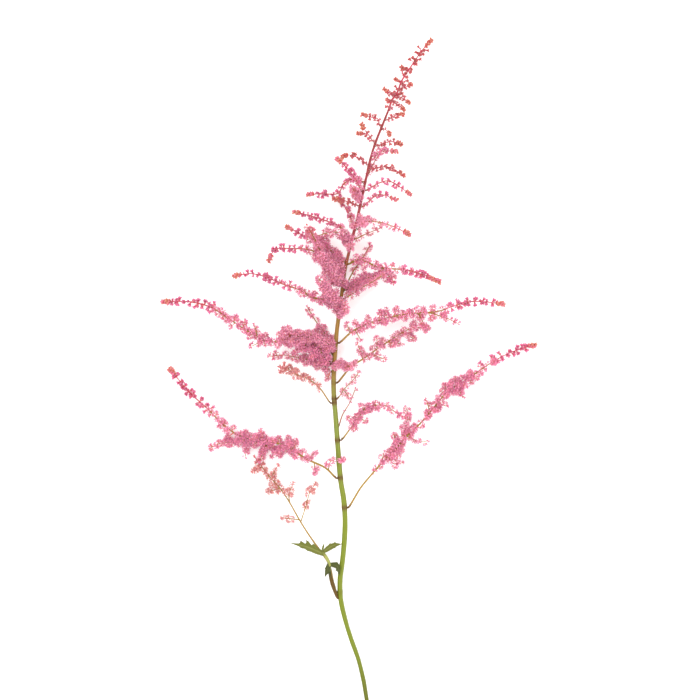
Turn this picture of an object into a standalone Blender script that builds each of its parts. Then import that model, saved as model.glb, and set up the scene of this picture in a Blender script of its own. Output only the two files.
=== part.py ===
"""A cut flowering stem of pink astilbe, lying on a level surface.

X runs across the plume, Y from the cut end to the tip and Z up. The origin is under the middle of the
whole, on the surface that it lies on. Places in the lists below are in millimetres: right of the plume's
middle line, on from the cut end, and height over the surface.
"""

import math
import random
from collections import namedtuple

import bmesh
import bpy
import numpy
from mathutils import Vector

MM = 0.001
SEED = 23
MIDDLE_X = -0.6
MIDDLE_Y = 269.4

GAP = 0.3
STEM_SIDES = 8
STEM_STEP = 20.0
STEM_AT = (0, 40, 64, 88, 120, 200, 250, 296, 352, 408, 448, 481)
STEM_RADII = (1.67, 1.7, 1.8, 1.97, 2.12, 2.1, 1.9, 1.8, 1.25, 1.0, 0.9, 0.8)
STEM_KNOT = 1.14
KNOT_SPREAD = 60.0
REST_WIDTH = 80.0
REST_LENGTH = 90.0
REST_DEPTH = 10.0
REST_Y = 25.0

STALK_STEP = 13.0
STALK_BASE_RADIUS = 0.95
STALK_TIP_RADIUS = 0.5
STALK_LEAP = 1.2
STALK_SIDES = 4
TWIG_SIDES = 3
TWIG_SCALE = 0.75
TWIG_SIZE = 0.9
TWIG_BARE = 0.15

OPEN_PITCH = 7.2
BUD_PITCH = 6.6
OPEN_END = 0.58
FIRST_FLORET = 2.2
LAST_FLORET = 1.5
FLORET_RADIUS = 5.2
FLORET_TAPER = 0.5
FLORET_VARY = 0.1
FLORET_LEAST = 1.3
FLORET_LEAN = 0.38
FLORET_REACH = 0.95
FOOT_LENGTH = 0.9
PETALS = 5
PETAL_REACH = 0.95
CLEFT = 0.5
RIM_RISE = 0.3
THROAT_RISE = 0.05
NECK_DROP = 0.5
NECK_RADIUS = 0.55
BUD_MOST = 2.5
BUD_WAIST = 0.8
BUD_DROP = 0.2
TIP_SUNK = 1.0
GOLDEN_ANGLE = math.pi * (3 - math.sqrt(5))

BRACT_LENGTH = 2.8
BRACT_RADIUS = 0.8
BRACT_FROM = 60.0
BRACT_BELOW = 2.8
BRACT_LEAN = 0.25
BRACT_SUNK = 0.7

BLADE_THICKNESS = 0.7
BLADE_LEAST = 0.35
TOOTH_OUT = 1.12
TOOTH_IN = 0.84
TOOTH_SLANT = 0.25
BLADE_ARCH = 4.0

SMOOTH_ANGLE = math.radians(35)
WELD_DISTANCE = 0.000001
PETAL_ROUGHNESS = 0.6

PINKS = {
    "mauve": (0.62, 0.16, 0.28),
    "bright": (0.80, 0.20, 0.36),
    "salmon": (0.78, 0.26, 0.27),
    "crimson": (0.62, 0.08, 0.16),
}
STEM_GREEN = (0.34, 0.37, 0.08)
LEAF_GREEN = (0.17, 0.21, 0.035)

STEM = (
    (14.5, 0, 1.45), (12.6, 12, 1.45), (10.5, 24, 1.7), (6.5, 40, 2.7), (0.8, 56, 4.2), (-4, 72, 5.8),
    (-7.5, 88, 7.4), (-8, 104, 9), (-6, 120, 10.4), (-4.5, 136, 11.8), (-4, 152, 13), (-5, 168, 14.3),
    (-7.5, 184, 15.5), (-9.5, 208, 17.3), (-11.2, 232, 19), (-13, 256, 20.5), (-12.4, 280, 21.8),
    (-10.4, 304, 22.6), (-7.2, 328, 23), (-4, 352, 22.8), (1.6, 376, 22), (7.4, 400, 21),
    (12.6, 424, 19.4), (18.4, 448, 17.3), (27.6, 472, 15), (31.2, 481, 14.2),
)

Spray = namedtuple("Spray", "name pink at bare size route twigs")

SPRAYS = (
    Spray("spray_left_01", "salmon", 94, 0.48, 0.9, (
        (-12.6, 97, 6.8), (-14, 104, 6.5), (-16.5, 115, 7), (-21, 123, 8.5), (-32, 138.5, 10.5),
        (-40, 151, 10.5), (-48, 165, 9.5), (-56, 177, 8), (-66, 188, 6.5), (-76, 201.5, 4.5),
    ), (
        ((-39, 150, 10.5), (-35, 164, 13), (-32, 175, 13), (-28, 180, 12)),
        ((-48, 165, 9.5), (-49, 172, 12), (-46, 180, 13)),
        ((-41, 152, 10.5), (-53.5, 153.5, 8)),
        ((-56, 177, 8), (-66, 174.5, 6)),
        ((-63, 185, 7), (-58.5, 194.5, 8)),
        ((-71, 194, 6), (-77, 191, 4)),
    )),
    Spray("spray_left_02", "bright", 186, 0.06, 1.0, (
        (-20, 194, 17), (-36, 201.5, 17.5), (-49.5, 210.5, 16), (-70.5, 216, 13), (-88, 219, 10),
        (-102.5, 229, 8), (-115, 241.5, 7), (-128, 253, 6), (-137.5, 264, 4.4), (-145, 273.5, 3),
    ), (
        ((-80, 217, 11), (-92, 214.5, 8), (-104, 213, 6), (-112, 209.5, 4)),
        ((-66, 215, 14), (-72, 200, 8)),
        ((-17, 192, 17), (-16, 198.5, 23), (-9.5, 201.5, 25), (-5.5, 201, 25.5)),
        ((-29, 198, 17), (-28, 190, 14)),
        ((-34, 201, 17), (-27, 207, 21)),
        ((-81, 218, 11), (-84, 203, 7)),
        ((-53, 211, 15), (-62, 203, 10)),
    )),
    Spray("spray_left_03", "salmon", 246, 0.1, 0.9, (
        (-24, 257.5, 22), (-33.5, 265, 22.5), (-44, 269, 21), (-50.5, 273.5, 19.5), (-56, 272, 18),
    ), ()),
    Spray("spray_left_04", "bright", 277, 0.05, 1.0, (
        (-24, 286.5, 27), (-40, 293.5, 30), (-52, 296, 29), (-64, 294.5, 27), (-81.5, 303, 23),
        (-97.5, 313.5, 18), (-112, 322.5, 13), (-128, 326.5, 9), (-144, 327, 6), (-151, 326.5, 4.5),
    ), (
        ((-68, 296, 26), (-78.5, 291, 22)),
        ((-73, 298.5, 25), (-76, 307, 26)),
    )),
    Spray("spray_left_05", "mauve", 289, 0.1, 1.0, (
        (-20, 295, 34), (-32, 298, 40), (-52, 300, 43),
    ), ()),
    Spray("spray_left_06", "mauve", 271, 0.1, 1.0, (
        (-25.5, 278.5, 17), (-40, 281.5, 14), (-53.5, 284, 11), (-64, 283, 9),
    ), ()),
    Spray("spray_left_07", "bright", 325, 0.05, 1.0, (
        (-20, 328, 27), (-32, 330.5, 28), (-37.5, 335, 27.5), (-52, 340, 25), (-68, 346.5, 21),
        (-80, 349, 18), (-93.5, 347, 15),
    ), ()),
    Spray("spray_left_08", "bright", 347, 0.05, 0.95, (
        (-16, 356, 27), (-24, 364, 29), (-33.5, 368, 28), (-49.5, 369, 24), (-57.5, 369, 21),
        (-62.5, 365, 19), (-65, 358.5, 17),
    ), ()),
    Spray("spray_left_09", "bright", 358, 0.05, 0.9, (
        (-16, 368, 23), (-25.5, 376, 21), (-36, 379, 19), (-51, 387, 16),
    ), ()),
    Spray("spray_left_10", "crimson", 353, 0.1, 0.9, (
        (-20, 361.5, 40), (-28, 376, 46), (-33.5, 385.5, 48),
    ), ()),
    Spray("spray_left_11", "bright", 377, 0.05, 0.9, (
        (-8, 386.5, 22), (-14.5, 389.5, 21), (-30.5, 395, 18), (-45.5, 399, 15),
    ), ()),
    Spray("spray_left_12", "mauve", 372, 0.05, 0.95, (
        (-8, 381, 33), (-17.5, 381, 37), (-25.5, 378.5, 38),
    ), ()),
    Spray("spray_left_13", "crimson", 403, 0.05, 0.75, (
        (0, 405.5, 20), (-6.5, 408, 19), (-13.5, 409, 18),
    ), ()),
    Spray("spray_left_14", "bright", 415, 0.05, 0.8, (
        (5, 423, 24), (-1.5, 432, 26), (-11, 441, 27),
    ), ()),
    Spray("spray_left_15", "bright", 422, 0.05, 0.8, (
        (3, 425, 16), (-5, 421, 14), (-9.5, 413.5, 12), (-20, 413, 11), (-34.5, 413, 9),
    ), ()),
    Spray("spray_left_16", "crimson", 436, 0.05, 0.75, (
        (9.5, 440, 18), (0, 444, 17), (-6.5, 442.5, 16),
    ), ()),
    Spray("spray_left_17", "crimson", 454, 0.05, 0.7, ((16, 458.5, 17), (12.8, 462.5, 16), (9, 469, 15)), (
        ((14.5, 460.5, 16.5), (6.5, 461.5, 14)),
    )),
    Spray("spray_left_18", "crimson", 467, 0.05, 0.7, (
        (22.5, 473, 15), (17, 474.5, 14), (9.5, 477, 13),
    ), ()),
    Spray("spray_right_01", "bright", 162, 0.2, 0.95, (
        (8, 177, 15), (16, 187, 16), (24, 196, 16), (31, 203, 16), (44, 217.5, 15), (56, 229, 14),
        (65.5, 240, 13), (78.5, 255, 12), (94.5, 265, 10), (110.5, 276, 8), (126.5, 285, 6.5),
        (142.5, 290.5, 4.4), (149.5, 292, 3.2),
    ), (
        ((31, 203, 16), (34.5, 197, 13), (41.5, 197.5, 11)),
        ((46, 219, 15), (56, 214.5, 12), (61.5, 215, 11)),
        ((43, 217, 15), (45, 228, 12), (46.5, 237.5, 11), (45, 241.5, 10)),
        ((25, 197, 16), (27, 205.5, 19)),
        ((38, 211, 15), (35, 220, 18)),
        ((64, 238, 13), (61, 248, 14)),
        ((70, 245, 13), (77, 243, 10)),
        ((84, 259, 11), (90.5, 251, 8)),
    )),
    Spray("spray_right_02", "bright", 216, 0.1, 0.9, (
        (1.5, 227, 21), (9, 237.5, 24), (13.5, 242.5, 25), (27, 244, 25), (37.5, 237.5, 24), (43, 234.5, 23),
    ), (
        ((4, 231, 22), (-1, 234, 25)),
        ((7, 235, 23), (12, 231, 22)),
    )),
    Spray("spray_right_03", "mauve", 249, 0.1, 0.85, ((-4, 257.5, 27), (1.5, 263, 31), (6.5, 269.5, 34)), (
        ((-5, 256, 26), (-1, 251, 28)),
    )),
    Spray("spray_right_04", "mauve", 262, 0.05, 1.0, (
        (0, 273.5, 19), (13.5, 283, 17), (25, 291, 15), (37, 299, 13), (49.5, 305.5, 11), (61, 305.5, 9),
    ), (
        ((10.5, 281, 17), (6.5, 292, 19)),
        ((22, 289, 15), (21.5, 297, 17)),
        ((16, 285, 16.5), (27, 281, 13)),
        ((31, 295, 14), (41, 293, 11)),
        ((43, 302, 12), (51, 297, 8)),
    )),
    Spray("spray_right_05", "bright", 294, 0.05, 1.0, (
        (1.5, 302.5, 27), (14.5, 309, 29), (24, 312, 29), (36, 315, 28), (48, 317, 26), (70.5, 319, 20),
        (85, 324, 15), (101, 327, 10), (124, 325, 5),
    ), (
        ((62, 318, 22), (76, 314, 17), (86.5, 309, 12)),
        ((0, 301, 26), (-2, 308, 29)),
        ((4, 304, 27), (8, 297, 27)),
        ((54, 318, 25), (60, 307, 21)),
    )),
    Spray("spray_right_06", "mauve", 329, 0.05, 0.95, (
        (9.5, 337.5, 34), (18.5, 342.5, 37), (25.5, 347, 38),
    ), ()),
    Spray("spray_right_07", "bright", 336, 0.05, 0.95, (
        (6.5, 343, 25), (20, 347, 24), (28, 349, 22), (33, 345.5, 21), (34.5, 341.5, 20),
    ), ()),
    Spray("spray_right_08", "bright", 357, 0.05, 0.95, (
        (6.5, 360.5, 27), (14.5, 357.5, 28), (24, 353.5, 28), (42.5, 352, 24), (59, 348, 18), (72, 342.5, 13),
    ), ()),
    Spray("spray_right_09", "crimson", 377, 0.1, 0.8, (
        (12, 380.5, 16), (24, 385.5, 11),
    ), ()),
    Spray("spray_right_10", "bright", 385, 0.05, 0.85, (
        (13, 390.5, 22), (28, 389, 20), (42.5, 383, 17), (48, 380, 16),
    ), ()),
    Spray("spray_right_11", "bright", 403, 0.05, 0.8, (
        (20, 411, 20), (26.5, 412, 18), (37, 408, 15),
    ), ()),
    Spray("spray_right_12", "bright", 416, 0.05, 0.8, (
        (24, 421.5, 23), (32, 422.5, 23), (43, 416, 20), (49, 412, 17),
    ), ()),
    Spray("spray_right_13", "crimson", 433, 0.05, 0.75, (
        (26.5, 434.5, 15), (33.5, 433.5, 14), (44, 427, 11),
    ), ()),
    Spray("spray_right_14", "bright", 441, 0.05, 0.75, (
        (22.5, 445.5, 20), (29, 447, 21), (37.5, 446.5, 20),
    ), ()),
    Spray("spray_right_15", "crimson", 452, 0.05, 0.7, (
        (32, 455, 13), (41.5, 453, 11),
    ), ()),
    Spray("spray_right_16", "crimson", 465.5, 0.05, 0.65, (
        (30, 463, 18), (32, 459, 20),
    ), ()),
    Spray("spray_right_17", "crimson", 473, 0.05, 0.65, (
        (35, 475, 14.5), (40, 477, 14), (43, 476.5, 13),
    ), ()),
    Spray("spray_front_1", "mauve", 274, 0.15, 0.95, (
        (-9, 277, 38), (-4, 276, 50), (0, 275, 58),
    ), ()),
    Spray("spray_front_2", "mauve", 316, 0.15, 0.9, (
        (-6, 318.5, 38), (-3, 320, 46),
    ), ()),
    Spray("spray_front_3", "mauve", 323, 0.1, 1.0, (
        (-14, 330, 42), (-20, 338, 52), (-24, 344, 58),
    ), ()),
    Spray("spray_front_4", "mauve", 341, 0.1, 1.0, (
        (-12, 347, 42), (-18, 355, 51), (-22, 362, 56),
    ), ()),
    Spray("spray_front_5", "mauve", 367, 0.15, 0.85, (
        (0.5, 370, 36), (1, 372, 44),
    ), ()),
    Spray("spray_front_6", "mauve", 390, 0.15, 0.85, (
        (9, 389, 38), (10, 388, 46),
    ), ()),
    Spray("spray_front_7", "mauve", 408, 0.15, 0.8, (
        (5, 412, 34), (2, 416, 42),
    ), ()),
    Spray("spray_under_1", "mauve", 226, 0.1, 0.95, (
        (-6, 236, 9), (0, 246, 5), (4, 256, 1.9),
    ), ()),
    Spray("spray_under_2", "mauve", 284, 0.1, 0.95, (
        (-20, 300, 10), (-28, 312, 5), (-34, 322, 1.9),
    ), ()),
    Spray("spray_under_3", "mauve", 336, 0.1, 0.95, (
        (2, 350, 11), (10, 362, 5.5), (16, 372, 1.9),
    ), ()),
    Spray("spray_under_4", "mauve", 386, 0.1, 0.85, (
        (0, 396, 9), (-5, 404, 5), (-9, 410, 1.9),
    ), ()),
    Spray("spray_under_5", "mauve", 428, 0.1, 0.8, (
        (19, 438, 8), (24, 446, 4.6), (28, 452, 1.7),
    ), ()),
)

TOP_SPRAY = Spray("top_spray", "crimson", 481, 0.0, 0.62, (
    (33.6, 488, 13.5), (38, 494.5, 13), (41.6, 504, 12), (48.4, 514.5, 11), (57.6, 528, 9.5), (65.6, 537, 8),
), (
    ((32.8, 485, 13.8), (28.8, 489, 14)),
    ((36.8, 492, 13), (32, 493.6, 13), (27.2, 497, 12)),
    ((40.8, 502.5, 12), (36, 505.5, 12)),
    ((45.6, 511, 11), (41, 515, 11)),
    ((33.5, 487, 13.6), (40, 483, 13), (44, 480, 12)),
    ((37, 492, 13.2), (42.4, 489.5, 12), (48, 485.5, 11)),
    ((39.5, 497, 12.7), (44.8, 498.5, 12), (49.6, 501.5, 11)),
))

LEAF_STALK = (
    (-13.5, 99, 10.5), (-16, 108, 12), (-16.2, 116, 12.5), (-19, 122, 12.6), (-22.4, 127, 12.6),
)
LEAF_AT = 89.5
LEAF_STALK_SIDES = 6
LEAF_STALK_RADII = (1.3, 1.6, 1.2, 0.8, 0.6, 0.5)
Blade = namedtuple("Blade", "base tip width teeth fold")
BLADES = (
    Blade((-21.6, 125.4, 12.6), (-48.0, 133.8, 9.5), 7.4, 4, 0.22),
    Blade((-22.4, 127.0, 12.6), (-8.0, 132.4, 16.0), 4.6, 2, 0.18),
    Blade((-16.2, 116.2, 12.5), (-20.5, 105.8, 13.5), 4.6, 2, 0.2),
    Blade((-16.0, 116.0, 12.5), (-8.6, 109.0, 15.5), 5.2, 2, 0.2),
)


def place(spot):
    """A place in the lists as a vector in millimetres, seen from the origin under the middle."""
    return Vector((spot[0] - MIDDLE_X, spot[1] - MIDDLE_Y, spot[2]))


def smooth(points, step):
    """Points about one step apart on a smooth curve through the given ones."""
    ends = [points[0] * 2 - points[1], *points, points[-1] * 2 - points[-2]]
    path = []
    for a, b, c, d in zip(ends, ends[1:], ends[2:], ends[3:]):
        count = max(1, round((c - b).length / step))
        for i in range(count):
            t = i / count
            bend = (2 * a - 5 * b + 4 * c - d) * t**2 + (3 * b - a - 3 * c + d) * t**3
            path.append(0.5 * (2 * b + (c - a) * t + bend))
    return path + [points[-1]]


def lengths(path):
    """The distance along a path of each of its points."""
    out = [0.0]
    for a, b in zip(path, path[1:]):
        out.append(out[-1] + (b - a).length)
    return out


def along(path, distance):
    """The place and the direction at a distance along a path."""
    marks = lengths(path)
    i = max(k for k in range(len(path) - 1) if k == 0 or marks[k] <= distance)
    heading = path[i + 1] - path[i]
    return path[i] + heading * ((distance - marks[i]) / heading.length), heading.normalized()


def stem_radius(y):
    return float(numpy.interp(y, STEM_AT, STEM_RADII))


def material(name, colour):
    made = bpy.data.materials.new(name)
    made.use_nodes = True
    shader = made.node_tree.nodes["Principled BSDF"]
    shader.inputs["Base Color"].default_value = (*colour, 1.0)
    shader.inputs["Roughness"].default_value = PETAL_ROUGHNESS
    shader.inputs["Metallic"].default_value = 0.0
    return made


def object_of(name, mesh, collection):
    made = bpy.data.objects.new(name, mesh)
    collection.objects.link(made)
    return made


def tube(name, path, radii, sides, collection):
    """A round bar along a path in millimetres, as a closed mesh with welded caps."""
    curve = bpy.data.curves.new(name, "CURVE")
    curve.dimensions = "3D"
    curve.bevel_depth = MM
    curve.bevel_resolution = (sides - 4) // 2
    curve.use_fill_caps = True
    line = curve.splines.new("POLY")
    line.points.add(len(path) - 1)
    for point, spot, radius in zip(line.points, path, radii):
        point.co = (*(spot * MM), 1.0)
        point.radius = radius
    bar = object_of(name, curve, collection)
    graph = bpy.context.evaluated_depsgraph_get()
    mesh = bpy.data.meshes.new_from_object(bar.evaluated_get(graph))
    bpy.data.objects.remove(bar)
    welded = bmesh.new()
    welded.from_mesh(mesh)
    bmesh.ops.remove_doubles(welded, verts=welded.verts, dist=WELD_DISTANCE)
    bmesh.ops.recalc_face_normals(welded, faces=welded.faces)
    welded.to_mesh(mesh)
    welded.free()
    return object_of(name, mesh, collection)


def loft(name, rings, collection):
    """A closed mesh through rings of unlike counts, given in millimetres. A ring of one point is a tip.

    No point goes under the surface that the stem lies on.
    """
    shape = bmesh.new()
    rows = [[shape.verts.new(Vector((x, y, max(z, 0.0))) * MM) for x, y, z in ring] for ring in rings]
    for low, high in zip(rows, rows[1:]):
        low_end = len(low) if len(low) > 1 else 0
        high_end = len(high) if len(high) > 1 else 0
        i = j = 0
        while i < low_end or j < high_end:
            here, there = low[i % len(low)], high[j % len(high)]
            low_next = i < low_end and (j == high_end or (i + 1) * len(high) <= (j + 1) * len(low))
            if low_next:
                i += 1
                shape.faces.new((here, low[i % len(low)], there))
            else:
                j += 1
                shape.faces.new((here, high[j % len(high)], there))
    bmesh.ops.recalc_face_normals(shape, faces=shape.faces)
    mesh = bpy.data.meshes.new(name)
    shape.to_mesh(mesh)
    shape.free()
    return object_of(name, mesh, collection)


def unite(name, body, group, paint, collection):
    """Joins the body with all that the group holds, removes the group and names what is left."""
    join = body.modifiers.new("union", "BOOLEAN")
    join.operation = "UNION"
    join.operand_type = "COLLECTION"
    join.collection = group
    graph = bpy.context.evaluated_depsgraph_get()
    mesh = bpy.data.meshes.new_from_object(body.evaluated_get(graph))
    for piece in list(group.objects):
        bpy.data.objects.remove(piece)
    bpy.data.collections.remove(group)
    bpy.data.objects.remove(body)
    mesh.materials.clear()
    mesh.materials.append(paint)
    mesh.name = name
    made = object_of(name, mesh, collection)
    made.data.shade_smooth()
    made.data.set_sharp_from_angle(angle=SMOOTH_ANGLE)
    return made


class Room:
    """The space that pieces fill, as balls, so that no floret grows into another piece's."""

    def __init__(self):
        self.owners, self.centres, self.radii = [], [], []

    def fill(self, owner, centre, radius):
        self.owners.append(owner)
        self.centres.append(tuple(centre))
        self.radii.append(radius)

    def left(self, owner, centre):
        """How far it is from the centre to the nearest piece of another owner."""
        others = numpy.array([who != owner for who in self.owners])
        far = numpy.linalg.norm(numpy.array(self.centres) - numpy.array(centre), axis=1)
        return float((far - numpy.array(self.radii))[others].min()) - GAP


def ring(centre, axis, side, radii, turn=0.0):
    """Points round an axis, one for each radius."""
    up = axis.cross(side).normalized()
    side = up.cross(axis)
    step = 2 * math.pi / len(radii)
    return [
        centre + (side * math.cos(turn + step * i) + up * math.sin(turn + step * i)) * radius
        for i, radius in enumerate(radii)
    ]


def open_floret(root, head, radius, turn, group):
    """Five petals as a star-shaped funnel, drawn down to a three-sided stalk whose foot is at the root."""
    axis = (head - root).normalized()
    side = axis.orthogonal()
    rim = [radius * share for share in (PETAL_REACH, CLEFT) * PETALS]
    loft("floret", (
        [root],
        ring(head - axis * radius * NECK_DROP, axis, side, [NECK_RADIUS] * 3, turn),
        ring(head + axis * radius * RIM_RISE, axis, side, rim, turn),
        [head + axis * radius * THROAT_RISE],
    ), group)


def bud(root, head, radius, turn, group):
    """A closed three-sided bud, with its foot at the root."""
    axis = (head - root).normalized()
    loft("bud", (
        [root],
        ring(head - axis * radius * BUD_DROP, axis, axis.orthogonal(), [radius * BUD_WAIST] * 3, turn),
        [head + axis * radius],
    ), group)


def stalk_radius(share, scale):
    return (STALK_BASE_RADIUS * (1 - share) + STALK_TIP_RADIUS * share) * scale


def grow_stalk(name, path, scale, sides, group):
    total = lengths(path)[-1]
    side = along(path, 0.0)[1].orthogonal()
    rings = [[path[0]]]
    for i, mark in enumerate(lengths(path)[:-1]):
        heading = (path[i + 1] - path[max(i - 1, 0)]).normalized()
        side = (side - heading * side.dot(heading)).normalized()
        rings.append(ring(path[i], heading, side, [stalk_radius(mark / total, scale)] * sides))
    rings.append([path[-1]])
    return loft(name, rings, group)


def florets_along(path, size, bare, turn):
    """(shape, root, direction, radius) of each floret, each turned by the golden angle from the last."""
    total = lengths(path)[-1]
    distance = max(bare * total, FIRST_FLORET)
    while distance < total - LAST_FLORET:
        root, heading = along(path, distance)
        share = distance / total
        side = heading.cross(Vector((0, 0, 1))).normalized()
        out = side * math.cos(turn) + side.cross(heading) * math.sin(turn)
        out = (out + heading * FLORET_LEAN).normalized()
        radius = size * (1 - FLORET_TAPER * share)
        if share < OPEN_END:
            yield open_floret, root, out, radius
            distance += OPEN_PITCH
        else:
            yield bud, root, out, min(radius, BUD_MOST)
            distance += BUD_PITCH
        turn += GOLDEN_ANGLE
    root, heading = along(path, total - TIP_SUNK)
    yield bud, root, heading, min(size * (1 - FLORET_TAPER), BUD_MOST)


def spray_paths(spray, stem_path):
    """The stalk's path, leaving square off the stem's surface, and the paths of its twigs."""
    route = [place(spot) for spot in spray.route]
    if spray is TOP_SPRAY:
        heading = (stem_path[-1] - stem_path[-2]).normalized()
        start = stem_path[-1] + heading * GAP
        route = [start, *route]
    else:
        knot, heading = along(stem_path, stem_distance(stem_path, spray.at))
        out = route[0] - knot
        out = (out - heading * out.dot(heading)).normalized()
        start = knot + out * (stem_radius(spray.at) * STEM_KNOT + GAP)
        route = [start, start + out * STALK_LEAP, *route]
    stalk = smooth(route, STALK_STEP)
    twigs = []
    for spots in spray.twigs:
        points = [place(spot) for spot in spots]
        points[0] = min(smooth(route, 1.0), key=lambda spot: (spot - points[0]).length)
        twigs.append(smooth(points, STALK_STEP))
    return stalk, twigs


def stem_distance(stem_path, y):
    """How far along the stem its point at a distance on from the cut end lies."""
    marks = lengths(stem_path)
    return float(numpy.interp(y - MIDDLE_Y, [spot.y for spot in stem_path], marks))


def fill_stalk(room, owner, path, scale):
    total = lengths(path)[-1]
    for distance in numpy.arange(0, total, 1.0):
        room.fill(owner, along(path, distance)[0], stalk_radius(distance / total, scale))
    room.fill(owner, path[-1], stalk_radius(1.0, scale))


def grow_florets(name, path, size, bare, rng, room, group):
    """Sets the florets of one stalk, each as large as the room at its place allows."""
    turn = rng.uniform(0, 2 * math.pi)
    for shape, root, out, radius in florets_along(path, size * FLORET_RADIUS, bare, turn):
        radius *= rng.uniform(1 - FLORET_VARY, 1 + FLORET_VARY)
        head = root + out * (radius * FLORET_REACH + FOOT_LENGTH)
        head.z = max(head.z, radius * BUD_WAIST)
        middle = (root + head) / 2
        radius = min(radius, room.left(name, head))
        if radius < FLORET_LEAST or room.left(name, middle) < NECK_RADIUS:
            continue
        room.fill(name, head, radius)
        room.fill(name, middle, NECK_RADIUS)
        shape(root, head, radius, rng.uniform(0, 2 * math.pi), group)


def grow_spray(spray, paths, rng, room, collection):
    stalk, twigs = paths
    group = bpy.data.collections.new(spray.name + " pieces")
    bpy.context.scene.collection.children.link(group)
    body = grow_stalk(spray.name, stalk, 1.0, STALK_SIDES, collection)
    for twig in twigs:
        grow_stalk("twig", twig, TWIG_SCALE, TWIG_SIDES, group)
    grow_florets(spray.name, stalk, spray.size, spray.bare, rng, room, group)
    for twig in twigs:
        grow_florets(spray.name, twig, spray.size * TWIG_SIZE, TWIG_BARE, rng, room, group)
    paint = material(spray.name + " petals", PINKS[spray.pink])
    return unite(spray.name, body, group, paint, collection)


def grow_stem(stem_path, paths, collection, cutters):
    """The stem with its knots and bracts, and the small flat that it rests on near the cut end."""
    knots = [spray.at for spray in SPRAYS if lengths(paths[spray.name][0])[-1] > BRACT_FROM]
    path, radii = [], []
    for spot in stem_path:
        y = spot.y + MIDDLE_Y
        swell = max([1.0] + [STEM_KNOT - abs(y - knot) / KNOT_SPREAD for knot in knots])
        path.append(spot)
        radii.append(stem_radius(y) * swell)
    body = tube("main_stem", path, radii, STEM_SIDES, collection)
    group = bpy.data.collections.new("main_stem pieces")
    bpy.context.scene.collection.children.link(group)
    for spray in SPRAYS:
        stalk = paths[spray.name][0]
        if spray.at not in knots:
            continue
        knot, heading = along(stem_path, stem_distance(stem_path, spray.at - BRACT_BELOW))
        out = (stalk[1] - stalk[0]).normalized()
        lean = (out + heading * BRACT_LEAN).normalized()
        base = knot + out * stem_radius(spray.at) * BRACT_SUNK
        loft("bract", (
            [knot],
            ring(base, lean, heading, [BRACT_RADIUS] * 3),
            [base + lean * BRACT_LENGTH],
        ), group)
    stem = unite("main_stem", body, group, material("stem green", STEM_GREEN), collection)
    middle = place((0, REST_Y, -REST_DEPTH / 2))
    bpy.ops.mesh.primitive_cube_add(size=1.0, location=middle * MM)
    slab = bpy.context.object
    slab.name = "rest_cutter"
    slab.scale = (REST_WIDTH * MM, REST_LENGTH * MM, REST_DEPTH * MM)
    slab.hide_render = True
    slab.display_type = "WIRE"
    for owner in list(slab.users_collection):
        owner.objects.unlink(slab)
    cutters.objects.link(slab)
    cut = stem.modifiers.new("rest", "BOOLEAN")
    cut.operation = "DIFFERENCE"
    cut.object = slab
    return stem


def outline(share):
    """A leaflet's width at a share of its length, against its widest: blunt at the base, sharp at the tip."""
    return math.sin(math.pi * min(share * 0.92 + 0.1, 1.0)) ** 0.8


def blade(name, shape, group):
    """A leaflet as an open sheet with a toothed rim and folded along its midrib, thickened."""
    base, tip = place(shape.base), place(shape.tip)
    heading = (tip - base).normalized()
    side = heading.cross(Vector((0, 0, 1))).normalized()
    up = side.cross(heading)
    steps = 2 * shape.teeth + 1
    sheet = bmesh.new()
    bmesh.ops.create_grid(sheet, x_segments=steps, y_segments=2, size=1.0)
    for vert in sheet.verts:
        share = (vert.co.x + 1) / 2
        i = round(share * steps)
        half = max(shape.width / 2 * outline(share), BLADE_LEAST)
        half *= TOOTH_OUT if i % 2 == 0 else TOOTH_IN
        reach = share - (TOOTH_SLANT / steps if i % 2 == 1 and vert.co.y != 0 else 0)
        spot = base + (tip - base) * reach + side * vert.co.y * half
        spot += up * (abs(vert.co.y) * half * shape.fold * 2 - BLADE_ARCH * share * (share - 0.5))
        vert.co = spot * MM
    mesh = bpy.data.meshes.new(name)
    sheet.to_mesh(mesh)
    sheet.free()
    made = object_of(name, mesh, group)
    skin = made.modifiers.new("thickness", "SOLIDIFY")
    skin.thickness = BLADE_THICKNESS * MM
    skin.offset = 0.0
    graph = bpy.context.evaluated_depsgraph_get()
    solid = bpy.data.meshes.new_from_object(made.evaluated_get(graph))
    bpy.data.objects.remove(made)
    return object_of(name, solid, group)


def grow_leaf(stem_path, collection):
    knot, heading = along(stem_path, stem_distance(stem_path, LEAF_AT))
    route = [place(spot) for spot in LEAF_STALK]
    out = route[0] - knot
    out = (out - heading * out.dot(heading)).normalized()
    start = knot + out * (stem_radius(LEAF_AT) + GAP)
    path = [start, start + out, *route]
    radii = [LEAF_STALK_RADII[0], *LEAF_STALK_RADII]
    body = tube("leaf", path, radii, LEAF_STALK_SIDES, collection)
    group = bpy.data.collections.new("leaf pieces")
    bpy.context.scene.collection.children.link(group)
    for shape in BLADES:
        blade("leaflet", shape, group)
    return unite("leaf", body, group, material("leaf green", LEAF_GREEN), collection)


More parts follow.
